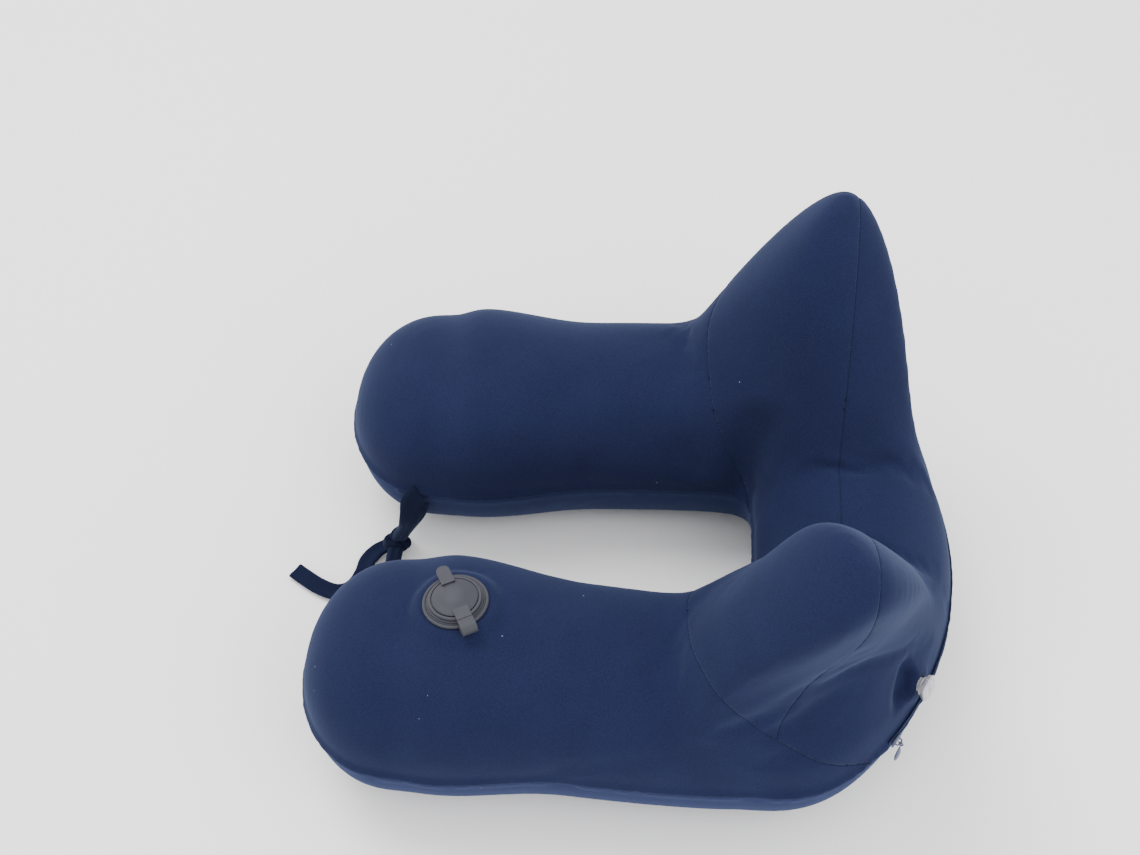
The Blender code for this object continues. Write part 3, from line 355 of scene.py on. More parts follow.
def sweepBand(name, route, section, broadside):
    # a grid is wrapped round the route: section(share, turn) gives the place across and through the band
    path, length = smoothRoute(route, ties["step"])
    heading = np.gradient(path, axis=0)
    heading /= np.linalg.norm(heading, axis=1)[:, None]
    across = [Vector(broadside(0.0))]
    for k, ahead in enumerate(heading):
        wanted = Vector(broadside(k / (len(path) - 1)))
        ahead = Vector(ahead)
        side = (wanted - ahead * wanted.dot(ahead)).normalized()
        across.append((across[-1] * 0.7 + side * 0.3).normalized())
    across = across[1:]
    band = bmesh.new()
    rows = len(path)
    bmesh.ops.create_grid(band, x_segments=rows + 3, y_segments=ties["around"], size=0.5)
    for corner in band.verts:
        row = int(round((corner.co.x + 0.5) * (rows + 3)))
        turn = (corner.co.y + 0.5) * 2.0 * math.pi
        inner = min(max(row - 2, 0), rows - 1)
        if row in (0, rows + 3):
            close = 0.0
        elif row in (1, rows + 2):
            close = 0.75
        else:
            close = 1.0
        ahead = Vector(heading[inner])
        side = across[inner] - ahead * across[inner].dot(ahead)
        side.normalize()
        through = ahead.cross(side)
        sideways, deep = section(inner / (rows - 1), turn)
        corner.co = Vector(path[inner]) + side * sideways * close + through * deep * close
    bmesh.ops.remove_doubles(band, verts=band.verts, dist=0.00001)
    bmesh.ops.recalc_face_normals(band, faces=band.faces)
    return addPiece(name, band), path, length


def makeStraps():
    left = [
        (-0.0310, -0.1400, 0.0560),
        (-0.0286, -0.1431, 0.0545),
        (-0.0258, -0.1445, 0.0470),
        (-0.0246, -0.1470, 0.0390),
        offKnot((0.10, 0.42, 1.0), 0.0090),
        offKnot((0.10, 0.42, 1.0), 0.0),
    ]
    right = [
        offKnot((1.0, -0.10, -0.30), 0.0),
        offKnot((1.0, -0.10, -0.30), 0.0060),
        (-0.0045, -0.1600, 0.0046),
        (0.0030, -0.1600, 0.0052),
        (0.0130, -0.1560, 0.0105),
        (0.0190, -0.1510, 0.0215),
        (0.0224, -0.1465, 0.0350),
        (0.0256, -0.1440, 0.0470),
        (0.0286, -0.1431, 0.0545),
        (0.0310, -0.1400, 0.0560),
    ]
    route = left + [ties["knotAt"]] + right

    def folded(share, turn):
        # broad and softly pleated at the arms, gathered towards the knot
        gather = float(smoothStep(0.04, 0.26, share))
        if share > 0.5:
            gather = 1.0 - float(smoothStep(0.80, 0.98, share))
        wide = ties["topWidth"] * (1.0 - gather) + ties["width"] * gather
        thick = ties["thickness"] * (1.0 + 0.9 * gather)
        sideways = wide / 2 * math.copysign(abs(math.cos(turn)) ** 0.8, math.cos(turn))
        ridge = 0.0009 * math.cos(sideways / wide * 4.0 * math.pi + 2.0)
        ridge *= 1.0 if math.sin(turn) > 0 else -0.4
        deep = thick / 2 * math.copysign(abs(math.sin(turn)) ** 0.7, math.sin(turn))
        return sideways, deep + ridge * abs(math.sin(turn)) ** 0.5

    def facing(share):
        return (0.35, -1.0, 0.25) if share < 0.5 else (0.2, 1.0, 0.2)

    strap, path, length = sweepBand("tieStrap", route, folded, facing)
    finish(strap, "pillow", finishes["strap"], "strap", "tie_strap_left", "tie_strap_right")
    knot = makeKnot()
    tailRoute = [
        offKnot((0.35, -0.85, -0.36), -0.0040),
        offKnot((0.35, -0.85, -0.36), 0.0050),
        (-0.0150, -0.1765, 0.0040),
        (-0.0060, -0.1780, 0.0040),
        (0.0060, -0.1830, 0.0040),
        (0.0105, -0.1930, 0.0038),
        (0.0060, -0.2060, 0.0030),
        (-0.0050, -0.2230, 0.0026),
    ]

    def flat(share, turn):
        wide = ties["tailWidth"] * (1.0 - 0.25 * float(smoothStep(0.18, 0.0, share)))
        thick = ties["tailThickness"] * (1.0 + 0.6 * float(smoothStep(0.3, 0.0, share)))
        sideways = wide / 2 * math.copysign(abs(math.cos(turn)) ** 0.75, math.cos(turn))
        crease = 0.0005 * math.cos(sideways / wide * 2.0 * math.pi)
        deep = thick / 2 * math.copysign(abs(math.sin(turn)) ** 0.6, math.sin(turn))
        return sideways, deep - crease * abs(math.sin(turn))

    def flatFacing(share):
        return (0.9, 0.45, 0.0) if share > 0.4 else (0.6, 0.8, 0.1)

    tail, tailPath, tailLength = sweepBand("strapTail", tailRoute, flat, flatFacing)
    finish(tail, "pillow", finishes["band"], "strap", "tie_strap_tail")
    print("strap", round(length, 4), "m, tail", round(tailLength, 4), "m")


def makeKnot():
    # an overhand knot: the band runs once round a three-lobed loop
    loops = []
    for i in range(49):
        t = 2.0 * math.pi * i / 48
        across = math.sin(t) + 2.0 * math.sin(2.0 * t)
        along = math.cos(t) - 2.0 * math.cos(2.0 * t)
        loops.append(Vector((across, along, -1.15 * math.sin(3.0 * t))))
    size = Vector((0.0021, 0.0024, 0.0022))
    turned = Matrix.Rotation(math.radians(25.0), 3, "Z") @ Matrix.Rotation(math.radians(50.0), 3, "Y")
    centre = Vector(ties["knotAt"])
    route = [centre + turned @ Vector([a * b for a, b in zip(loop, size)]) for loop in loops]
    path, length = smoothRoute(route, ties["step"] * 0.7)
    heading = np.gradient(path, axis=0)
    heading /= np.linalg.norm(heading, axis=1)[:, None]
    band = bmesh.new()
    rows = len(path)
    bmesh.ops.create_grid(band, x_segments=rows - 1, y_segments=24, size=0.5)
    for corner in band.verts:
        row = int(round((corner.co.x + 0.5) * (rows - 1)))
        turn = (corner.co.y + 0.5) * 2.0 * math.pi
        ahead = Vector(heading[row % (rows - 1)])
        out = Vector(path[row]) - centre
        through = (out - ahead * out.dot(ahead)).normalized()
        side = through.cross(ahead)
        fold = 0.0005 * math.cos(3.0 * turn)
        around = through * (math.sin(turn) * 0.0026 + fold)
        corner.co = Vector(path[row]) + side * math.cos(turn) * 0.0040 + around
    bmesh.ops.remove_doubles(band, verts=band.verts, dist=0.0002)
    bmesh.ops.recalc_face_normals(band, faces=band.faces)
    knot = addPiece("tieKnot", band)
    remesh = knot.modifiers.new("remesh", "REMESH")
    remesh.mode = "VOXEL"
    remesh.voxel_size = 0.0005
    soften = knot.modifiers.new("soften", "SMOOTH")
    soften.factor = 0.5
    soften.iterations = 4
    bake(knot)
    knot.data.shade_smooth()
    points = readPoints(knot.data)
    points[:, 2] = np.maximum(points[:, 2], 0.0004)
    writePoints(knot.data, points)
    return finish(knot, "pillow", finishes["knot"], "strap", "tie_knot")


makeStraps()

# the seats of the two valves, from their turned CAD parts
def seatOf(node, joint, top):
    # X runs to the hinge, Z out of the cover
    points = np.unique(np.round(readPoints(frame["nodes"][node].data), 6), axis=0)
    middle = points.mean(0)
    spread, axes = np.linalg.eigh(np.cov((points - middle).T))
    odd = 0 if spread[1] - spread[0] > spread[2] - spread[1] else 2
    side = Vector(joints[joint]["axis"]).normalized()
    out = Vector(axes[:, odd])
    out = (out - side * out.dot(side)).normalized()
    toHinge = Vector(joints[joint]["pos_m"]) - Vector(middle)
    if side.cross(out).dot(toHinge) < 0.0:
        out.negate()
    height = float(((points - middle) @ np.array(out)).max())
    origin = Vector(middle) + out * (height - top)
    along = side.cross(out)
    return Matrix.Translation(origin) @ Matrix((along, side, out)).transposed().to_4x4()


valveSeat = seatOf("valve_body", "plug_hinge", 0.0028)
mouthSeat = seatOf("mouth_valve_stem", "stopper_hinge", 0.0065)

# the inflated form, lofted from one arm tip round to the other
pillow = {
    "length": 0.384,
    "armOffset": 0.106,
    "tipOffset": 0.099,
    "backReach": 0.090,
    "backSquareness": 2.6,
    "backRadius": 0.205,
    "tipRound": 0.060,
    "tipMiddle": 0.060,
    "halfWidths": (0.061, 0.060, 0.0605, 0.0705, 0.0685),
    "heights": (0.112, 0.120, 0.120, 0.124, 0.117),
    "squareness": 2.35,
    "restingFlat": 0.0012,
    "finHeight": 0.244,
    "finStation": 0.109,
    "finFront": 0.058,
    "finRear": 0.062,
    "finRound": 0.010,
    "finSoft": 0.02,
    "finEnd": 0.03,
    "finLean": 0.030,
    "rightFinLower": 0.006,
    "lowerFrom": 0.130,
    "lowerRun": 0.114,
    "pinchOuter": 0.57,
    "pinchInner": 0.15,
    "waistStation": 0.235,
    "bulbStation": 0.310,
    "rows": 220,
    "sides": 72,
    "smoothing": 6,
    "tipShare": 0.15,
    "voxel": 0.0040,
    "pressure": 4.0,
    "startInside": 0.0015,
    "mostMoved": 0.0040,
    "clothMass": 0.30,
    "clothQuality": 5,
    "clothSteps": 20,
    "heldAtSeam": 0.0030,
    "heldAtFloor": 0.0020,
    "heldAtValve": 0.024,
    "heldAtMouth": 0.012,
}


def centreLine():
    size = pillow
    tipRing = -size["length"] / 2 + size["tipRound"]
    bendStart = size["length"] / 2 - size["halfWidths"][0] - size["backReach"]
    turn = np.linspace(0.0, math.pi / 2, 160)
    power = 2.0 / size["backSquareness"]
    bendX = size["armOffset"] * np.sin(turn) ** power
    bendY = bendStart + size["backReach"] * np.abs(np.cos(turn)) ** power
    run = np.linspace(0.0, 1.0, 80)[1:]
    ease = run * run * (3.0 - 2.0 * run)
    armX = size["armOffset"] + (size["tipOffset"] - size["armOffset"]) * ease
    armY = bendStart + (tipRing - bendStart) * run
    lineX = np.r_[bendX, armX]
    lineY = np.r_[bendY, armY]
    along = np.r_[0.0, np.cumsum(np.hypot(np.diff(lineX), np.diff(lineY)))]
    return lineX, lineY, along


lineX, lineY, lineAlong = centreLine()
lineEnd = lineAlong[-1]


def centreAt(station):
    x = np.interp(station, lineAlong, lineX)
    y = np.interp(station, lineAlong, lineY)
    step = 0.004
    headX = np.interp(station + step, lineAlong, lineX) - np.interp(station - step, lineAlong, lineX)
    headY = np.interp(station + step, lineAlong, lineY) - np.interp(station - step, lineAlong, lineY)
    if station <= 0.0:
        headX, headY = 1.0, 0.0
    size = math.hypot(headX, headY)
    return x, y, headX / size, headY / size


def easeBetween(stations, values, at):
    for i in range(len(stations) - 1):
        if at <= stations[i + 1]:
            t = max(0.0, (at - stations[i]) / (stations[i + 1] - stations[i]))
            t = t * t * (3.0 - 2.0 * t)
            return values[i] + (values[i + 1] - values[i]) * t
    return values[-1]


def rearEdgeHalfWidth(station):
    # half width that puts the outer side on the curve of the rear edge
    x, y, headX, headY = centreAt(station)
    out = Vector((-headY, headX))
    offset = Vector((x, y - pillow["length"] / 2 + pillow["backRadius"]))
    along = offset.dot(out)
    return -along + math.sqrt(along * along - offset.length_squared + pillow["backRadius"] ** 2)


def finShare(station):
    run = pillow["finRear"] if station < pillow["finStation"] else pillow["finFront"]
    t = abs(station - pillow["finStation"]) / run
    rounding = pillow["finRound"] / pillow["finRear"]
    rise = 1.0 - (math.sqrt(t * t + rounding * rounding) - rounding)
    soft = 0.5 * (rise + math.sqrt(rise * rise + pillow["finSoft"]))
    full = 0.5 * (1.0 + math.sqrt(1.0 + pillow["finSoft"]))
    return min(1.0, max(0.0, (soft - pillow["finEnd"]) / (full - pillow["finEnd"])))


def sectionSizes(station):
    knots = (0.0, pillow["finStation"], pillow["waistStation"], pillow["bulbStation"], lineEnd)
    halfWidth = easeBetween(knots, pillow["halfWidths"], station)
    height = easeBetween(knots, pillow["heights"], station)
    share = finShare(station)
    top = height + (pillow["finHeight"] - pillow["heights"][1]) * share
    follow = 1.0 - easeBetween((0.0, 0.095, 0.145), (0.0, 0.0, 1.0), station)
    outerWidth = halfWidth
    if follow > 0.0:
        outerWidth += (rearEdgeHalfWidth(station) - halfWidth) * follow
    return halfWidth, outerWidth, height, top, share


def sectionPoint(sizes, centre, angle, scale, forward):
    # a point of the outline on the right half, from the lowest point round the outer side
    halfWidth, outerWidth, height, top, share = sizes
    x, y, headX, headY = centre
    power = 2.0 / pillow["squareness"]
    side = math.copysign(abs(math.cos(angle)) ** power, math.cos(angle))
    rise = math.copysign(abs(math.sin(angle)) ** power, math.sin(angle))
    up = max(0.0, rise)
    z = height / 2 + (top - height / 2) * up if rise > 0.0 else height / 2 * (1.0 + rise)
    z = max(z, pillow["restingFlat"]) - pillow["restingFlat"]
    hollow = 4.0 * up * (1.0 - up)
    pinch = pillow["pinchOuter"] * hollow**2 if side > 0.0 else pillow["pinchInner"] * hollow
    reach = (outerWidth if side > 0.0 else halfWidth) * side * (1.0 - share * pinch)
    reach += share * pillow["finLean"] * up**1.5
    z = pillow["tipMiddle"] + (z - pillow["tipMiddle"]) * scale
    reach *= scale
    return Vector((x - headY * reach + headX * forward, y + headX * reach + headY * forward, z))


def buildForm():
    tipShare = pillow["tipShare"]
    rows = pillow["rows"]
    skin = bmesh.new()
    bmesh.ops.create_grid(skin, x_segments=rows, y_segments=pillow["sides"], size=0.5)
    known = {}
    for corner in skin.verts:
        row = int(round((corner.co.x + 0.5) * rows))
        across = 2.0 * row / rows - 1.0
        half = abs(across)
        angle = (corner.co.y + 0.5) * 2.0 * math.pi - math.pi / 2
        scale = 1.0
        forward = 0.0
        station = min(lineEnd, half / (1.0 - tipShare) * lineEnd)
        if half > 1.0 - tipShare:
            ahead = min(1.0, math.sin((half - 1.0 + tipShare) / tipShare * math.pi / 2))
            scale = math.sqrt(max(0.0, 1.0 - ahead**2.2))
            forward = pillow["tipRound"] * ahead
        key = abs(2 * row - rows)
        if key not in known:
            known[key] = (sectionSizes(station), centreAt(station))
        place = sectionPoint(*known[key], angle, scale, forward)
        if across < 0.0:
            place.x = -place.x
        else:
            above = max(0.0, place.z - pillow["lowerFrom"])
            place.z -= pillow["rightFinLower"] * above / pillow["lowerRun"]
        corner.co = place
    bmesh.ops.remove_doubles(skin, verts=skin.verts, dist=0.00002)
    bmesh.ops.recalc_face_normals(skin, faces=skin.faces)
    form = addPiece("coverForm", skin)
    remesh = form.modifiers.new("remesh", "REMESH")
    remesh.mode = "VOXEL"
    remesh.voxel_size = pillow["voxel"]
    soften = form.modifiers.new("soften", "SMOOTH")
    soften.factor = 0.5
    soften.iterations = pillow["smoothing"]
    return bake(form)


def inSeat(seat, points):
    turn = np.array(seat.to_3x3())
    return (points - np.array(seat.translation)) @ turn


def fromSeat(seat, points):
    return points @ np.array(seat.to_3x3()).T + np.array(seat.translation)


def vertexNormals(mesh):
    flat = np.empty(len(mesh.vertices) * 3)
    mesh.vertices.foreach_get("normal", flat)
    return flat.reshape(-1, 3)


seams = {
    "height": 0.057,
    "armRight": 0.0247,
    "armLeft": 0.0385,
    "armTurn": 0.095,
    "armSlope": 0.60,
    "armSoft": 0.020,
    "armRise": 0.77,
    "armSweep": 9.6,
    "armInnerRise": 0.47,
    "outerStart": 0.060,
    "outerEnd": 0.120,
    "ridgeY": 0.118,
    "ridgeBend": 0.0385,
    "ridgeBendLow": 0.095,
    "ridgeBendTop": 0.195,
    "ridgeOuterStart": 0.100,
    "ridgeOuterEnd": 0.120,
    "fineWithin": 0.0030,
    "grooveDepth": 0.00045,
    "grooveWidth": 0.0007,
    "valleyDepth": 0.00030,
    "valleyWidth": 0.0040,
    "bandTuck": 0.0016,
    "overhang": 0.0009,
    "pucker": 0.00022,
    "zipLip": 0.0012,
    "zipReach": (0.190, 0.198),
    "zipHalfWidth": (0.128, 0.136),
}


def armSeam(x, z):
    across = np.abs(x) - seams["armTurn"]
    ramp = 0.5 * (across + np.hypot(across, seams["armSoft"]))
    down = pillow["heights"][1] - z
    outer = smoothStep(seams["outerStart"], seams["outerEnd"], np.abs(x))
    outerRun = seams["armRise"] * down + seams["armSweep"] * np.maximum(0.0, down) ** 2
    start = np.where(np.asarray(x) > 0.0, seams["armRight"], seams["armLeft"])
    run = outer * outerRun + (1.0 - outer) * seams["armInnerRise"] * down
    return start + seams["armSlope"] * ramp + run


def ridgeSeam(x, z):
    outer = smoothStep(seams["ridgeOuterStart"], seams["ridgeOuterEnd"], np.abs(x))
    low = 1.0 - smoothStep(seams["ridgeBendLow"], seams["ridgeBendTop"], z)
    return seams["ridgeY"] - seams["ridgeBend"] * outer * low


def puffUp(form):
    # the cloth swells under air pressure, held at the seam, the valves and where it rests
    mesh = form.data
    rest = readPoints(mesh)
    inward = -vertexNormals(mesh)
    nearValve = np.linalg.norm(inSeat(valveSeat, rest), axis=1) < pillow["heldAtValve"]
    nearMouth = np.linalg.norm(inSeat(mouthSeat, rest), axis=1) < pillow["heldAtMouth"]
    hold = np.abs(rest[:, 2] - seams["height"]) < pillow["heldAtSeam"]
    hold |= nearValve | nearMouth | (rest[:, 2] < pillow["heldAtFloor"])
    start = rest + inward * pillow["startInside"] * (~hold)[:, None]
    writePoints(mesh, start)
    pins = form.vertex_groups.new(name="held")
    pins.add([int(i) for i in np.nonzero(hold)[0]], 1.0, "REPLACE")
    air = form.modifiers.new("air", "CLOTH")
    air.settings.quality = pillow["clothQuality"]
    air.settings.mass = pillow["clothMass"]
    air.settings.use_pressure = True
    air.settings.uniform_pressure_force = pillow["pressure"]
    air.settings.vertex_group_mass = "held"
    air.settings.effector_weights.gravity = 0.0
    air.point_cache.frame_start = 1
    air.point_cache.frame_end = pillow["clothSteps"]
    scene = bpy.context.scene
    for moment in range(1, pillow["clothSteps"] + 1):
        scene.frame_set(moment)
    bake(form)
    scene.frame_set(1)
    points = readPoints(form.data)
    move = points - rest
    far = np.linalg.norm(move, axis=1)
    print("cloth moved up to", round(float(far.max()), 4), "m, mean", round(float(far.mean()), 4), "m")
    move *= np.minimum(1.0, pillow["mostMoved"] / np.maximum(far, 1e-9))[:, None]
    points = rest + move
    points[:, 2] = np.maximum(points[:, 2], 0.0)
    writePoints(form.data, points)
    return form


def refineForm(form):
    smoother = form.modifiers.new("round", "SUBSURF")
    smoother.levels = 1
    smoother.render_levels = 1
    return bake(form)


def cutAlong(shape, faces, seamLine):
    # the mesh is sheared until the seam is flat, cut there and sheared back
    corners = list(shape.verts)
    shift = seamLine(np.array([c.co.x for c in corners]), np.array([c.co.z for c in corners]))
    for corner, amount in zip(corners, shift):
        corner.co.y -= float(amount)
    edges = {edge for face in faces for edge in face.edges}
    verts = {corner for edge in edges for corner in edge.verts}
    geom = list(faces) + list(edges) + list(verts)
    bmesh.ops.bisect_plane(shape, geom=geom, dist=0.00001, plane_co=(0, 0, 0), plane_no=(0, 1, 0))
    corners = list(shape.verts)
    shift = seamLine(np.array([c.co.x for c in corners]), np.array([c.co.z for c in corners]))
    for corner, amount in zip(corners, shift):
        corner.co.y += float(amount)


def panelOf(centre):
    # 0 base, 1 arm, 2 yoke, 3 back
    if centre.z < seams["height"]:
        return 0
    if centre.y < armSeam(centre.x, centre.z):
        return 1
    if centre.y < ridgeSeam(centre.x, centre.z):
        return 2
    return 3


def seamSort(first, second):
    low, high = sorted((first, second))
    if low == 0:
        return "edge"
    return "arm" if low == 1 else "ridge"


def seamPoints(shape, label):
    found = {"edge": [], "arm": [], "ridge": []}
    for edge in shape.edges:
        if len(edge.link_faces) != 2:
            continue
        first, second = (face[label] for face in edge.link_faces)
        if first != second:
            a, b = (corner.co for corner in edge.verts)
            steps = max(1, int(edge.calc_length() / 0.0004))
            found[seamSort(first, second)] += [a.lerp(b, k / steps) for k in range(steps + 1)]
    return found


def treeOf(points):
    tree = kdtree.KDTree(max(1, len(points)))
    for i, point in enumerate(points):
        tree.insert(point, i)
    tree.balance()
    return tree


def weldSlivers(shape, label):
    # corners beside a seam that are nearly on it move onto it
    onSeam = set()
    for edge in shape.edges:
        if len(edge.link_faces) == 2 and edge.link_faces[0][label] != edge.link_faces[1][label]:
            onSeam.update(edge.verts)
    targets = {}
    for edge in shape.edges:
        a, b = edge.verts
        if (a in onSeam) == (b in onSeam) or edge.calc_length() > 0.00045:
            continue
        loose, kept = (b, a) if a in onSeam else (a, b)
        if loose not in targets:
            targets[loose] = kept
    bmesh.ops.weld_verts(shape, targetmap=targets)


def splitPanels(form):
    shape = bmesh.new()
    shape.from_mesh(form.data)
    shape.normal_update()
    everything = shape.faces[:] + shape.edges[:] + shape.verts[:]
    level = (0.0, 0.0, seams["height"])
    bmesh.ops.bisect_plane(shape, geom=everything, dist=0.00001, plane_co=level, plane_no=(0, 0, 1))
    above = [f for f in shape.faces if f.calc_center_median().z > seams["height"]]
    cutAlong(shape, above, armSeam)
    behind = []
    for face in shape.faces:
        centre = face.calc_center_median()
        if centre.z > seams["height"] and centre.y > armSeam(centre.x, centre.z):
            behind.append(face)
    cutAlong(shape, behind, ridgeSeam)
    label = shape.faces.layers.int.new("panel")
    for face in shape.faces:
        face[label] = panelOf(face.calc_center_median())
    weldSlivers(shape, label)
    for within in (seams["fineWithin"], seams["fineWithin"] * 0.5):
        found = seamPoints(shape, label)
        tree = treeOf(found["edge"] + found["arm"] + found["ridge"])
        fine = []
        for edge in shape.edges:
            middle = (edge.verts[0].co + edge.verts[1].co) / 2
            if edge.calc_length() > 0.0006 and tree.find(middle)[2] < within:
                fine.append(edge)
        bmesh.ops.subdivide_edges(shape, edges=fine, cuts=1, use_grid_fill=True)
    bmesh.ops.triangulate(shape, faces=[f for f in shape.faces if len(f.verts) > 4])
    shape.normal_update()
    print("cover cut along its seams,", len(shape.faces), "faces")
    return shape, label


valveRest = {
    "full": 0.0195,
    "outer": 0.0290,
    "below": -0.0001,
}
dimple = {
    "depth": 0.0065,
    "inner": 0.0050,
    "full": 0.0100,
    "fade": 0.0150,
    "outer": 0.0320,
}


def mouthDimple(points):
    # the cover is drawn in beside the mouth valve, between a ridge going up and one going sideways
    local = inSeat(mouthSeat, points)
    up = -local[:, 0]
    side = -local[:, 1]
    reach = np.hypot(up, side)
    turn = np.arctan2(up, side)
    inside = smoothStep(-0.05, 0.35, turn) * (1.0 - smoothStep(1.25, 1.62, turn))
    rings = smoothStep(dimple["inner"], dimple["full"], reach)
    rings *= 1.0 - smoothStep(dimple["fade"], dimple["outer"], reach)
    rings *= np.abs(local[:, 2]) < 0.03
    return -dimple["depth"] * inside * rings


def settleUnderValve(points):
    local = inSeat(valveSeat, points)
    reach = np.hypot(local[:, 0], local[:, 1])
    near = (local[:, 2] > -0.02) & (local[:, 2] < 0.02) & (reach < 0.03)
    share = (1.0 - smoothStep(valveRest["full"], valveRest["outer"], reach)) * near
    local[:, 2] += (valveRest["below"] - local[:, 2]) * share
    return fromSeat(valveSeat, local)


def zipShare(points):
    # how far a point is on the zip's part of the outer edge
    centre = Vector(joints["slider_travel"]["pos_m"])
    reach = np.hypot(points[:, 0] - centre.x, points[:, 1] - centre.y)
    rear = smoothStep(*seams["zipReach"], reach) * (points[:, 1] > 0.0)
    return rear * (1.0 - smoothStep(*seams["zipHalfWidth"], np.abs(points[:, 0])))


def panelHeights(kind, points, distances):
    # how far the cloth of one panel stands out along its normal
    edge, arm, ridge = distances
    near = np.minimum(arm, ridge)
    height = -seams["grooveDepth"] * np.exp(-near / seams["grooveWidth"])
    height -= seams["valleyDepth"] * np.exp(-((near / seams["valleyWidth"]) ** 2))
    wave = np.array([noise.noise(Vector(p) * 260.0) for p in points])
    height += seams["pucker"] * wave * np.exp(-near / 0.003)
    zipped = zipShare(points)
    if kind == 0:
        height -= seams["bandTuck"] * np.exp(-edge / 0.0022) * (1.0 - zipped)
        height += seams["pucker"] * 1.2 * wave * np.exp(-edge / 0.004)
    else:
        height += seams["overhang"] * np.exp(-((edge / 0.0045) ** 2)) * (1.0 - zipped)
        height -= 0.0011 * np.exp(-edge / 0.0005) * (1.0 - zipped)
        height += seams["pucker"] * 1.6 * wave * np.exp(-edge / 0.004)
    lip = seams["zipLip"] * np.exp(-((edge / 0.0040) ** 2)) - 0.0005 * np.exp(-edge / 0.0004)
    return height + lip * zipped


films = {
    "upperFilm": ("bladder_upper_film", 1.0),
    "lowerFilm": ("bladder_lower_film", -1.0),
}


def makeFilms(form):
    # the two welded films of the bladder, just inside the cover
    for name, (node, side) in films.items():
        film = bmesh.new()
        film.from_mesh(form.data)
        film.normal_update()
        level = (0.0, 0.0, seams["height"] + side * 0.0003)
        geom = film.faces[:] + film.edges[:] + film.verts[:]
        way = (0.0, 0.0, side)
        bmesh.ops.bisect_plane(film, geom=geom, dist=0.00001, plane_co=level, plane_no=way, clear_inner=True)
        film.normal_update()
        points = np.array([tuple(corner.co) for corner in film.verts])
        ways = np.array([tuple(corner.normal) for corner in film.verts])
        inside = 0.0050 - mouthDimple(points)
        seam = 1.0 - np.exp(-np.abs(points[:, 2] - level[2]) / 0.004)
        ways[:, 2] *= seam
        moved = points - ways * inside[:, None]
        for corner, place in zip(film.verts, moved):
            corner.co = place
        bmesh.ops.dissolve_degenerate(film, dist=0.0002, edges=film.edges)
        piece = addPiece(name, film)
        thin = piece.modifiers.new("thin", "DECIMATE")
        thin.ratio = 0.35
        bake(piece)
        piece.data.shade_smooth()
        wall = piece.modifiers.new("wall", "SOLIDIFY")
        wall.thickness = 0.0005
        wall.offset = -1.0
        finish(piece, "pillow", finishes["film"], "film", node)
    print("films made")


panels = {
    "armPanelLeft": (1, -1, "cover_arm_panel_left", "cover", "cover"),
    "armPanelRight": (1, 1, "cover_arm_panel_right", "cover", "cover"),
    "finYoke": (2, 0, "cover_fin_yoke", "cover", "cover"),
    "backPanel": (3, 0, "cover_back_panel", "cover", "cover"),
    "basePanel": (0, 0, "cover_base_panel", "band", "cover_base"),
}


def makeCover():
    form = refineForm(puffUp(buildForm()))
    makeFilms(form)
    shape, label = splitPanels(form)
    found = seamPoints(shape, label)
    trees = [treeOf(found[sort]) for sort in ("edge", "arm", "ridge")]
    normals = shape.verts.layers.float_vector.new("outward")
    for corner in shape.verts:
        corner[normals] = corner.normal
    for name, (kind, side, node, finishName, slotName) in panels.items():
        own = shape.copy()
        panel = own.faces.layers.int["panel"]
        outward = own.verts.layers.float_vector["outward"]
        drop = []
        for face in own.faces:
            sameSide = side == 0 or face.calc_center_median().x * side > 0.0
            if face[panel] != kind or not sameSide:
                drop.append(face)
        bmesh.ops.delete(own, geom=drop, context="FACES")
        points = np.array([tuple(corner.co) for corner in own.verts])
        ways = np.array([tuple(corner[outward]) for corner in own.verts])
        distances = np.array([[tree.find(p)[2] for tree in trees] for p in points]).T
        lift = panelHeights(kind, points, distances)
        if kind != 1:
            lift += mouthDimple(points)
        points = points + ways * lift[:, None]
        if name == "armPanelRight":
            points = settleUnderValve(points)
        points[:, 2] = np.maximum(points[:, 2], 0.0)
        for corner, place in zip(own.verts, points):
            corner.co = place
        reachValve = np.linalg.norm(inSeat(valveSeat, points), axis=1)
        reachMouth = np.linalg.norm(inSeat(mouthSeat, points), axis=1)
        holed = [c for c, a, b in zip(own.verts, reachValve, reachMouth) if a < 0.0128 or b < 0.0045]
        bmesh.ops.delete(own, geom=holed, context="VERTS")
        piece = addPiece(name, own)
        attribute = piece.data.attributes.new("seamDistance", "FLOAT", "POINT")
        places = readPoints(piece.data)
        nearest = [min(tree.find(p)[2] for tree in trees) for p in places]
        attribute.data.foreach_set("value", nearest)
        wall = piece.modifiers.new("wall", "SOLIDIFY")
        wall.thickness = 0.0008
        wall.offset = -1.0
        finish(piece, "pillow", finishes[finishName], slotName, node)
        print("panel", name, len(piece.data.polygons), "faces")
    shape.free()
    bpy.data.objects.remove(form, do_unlink=True)


makeCover()


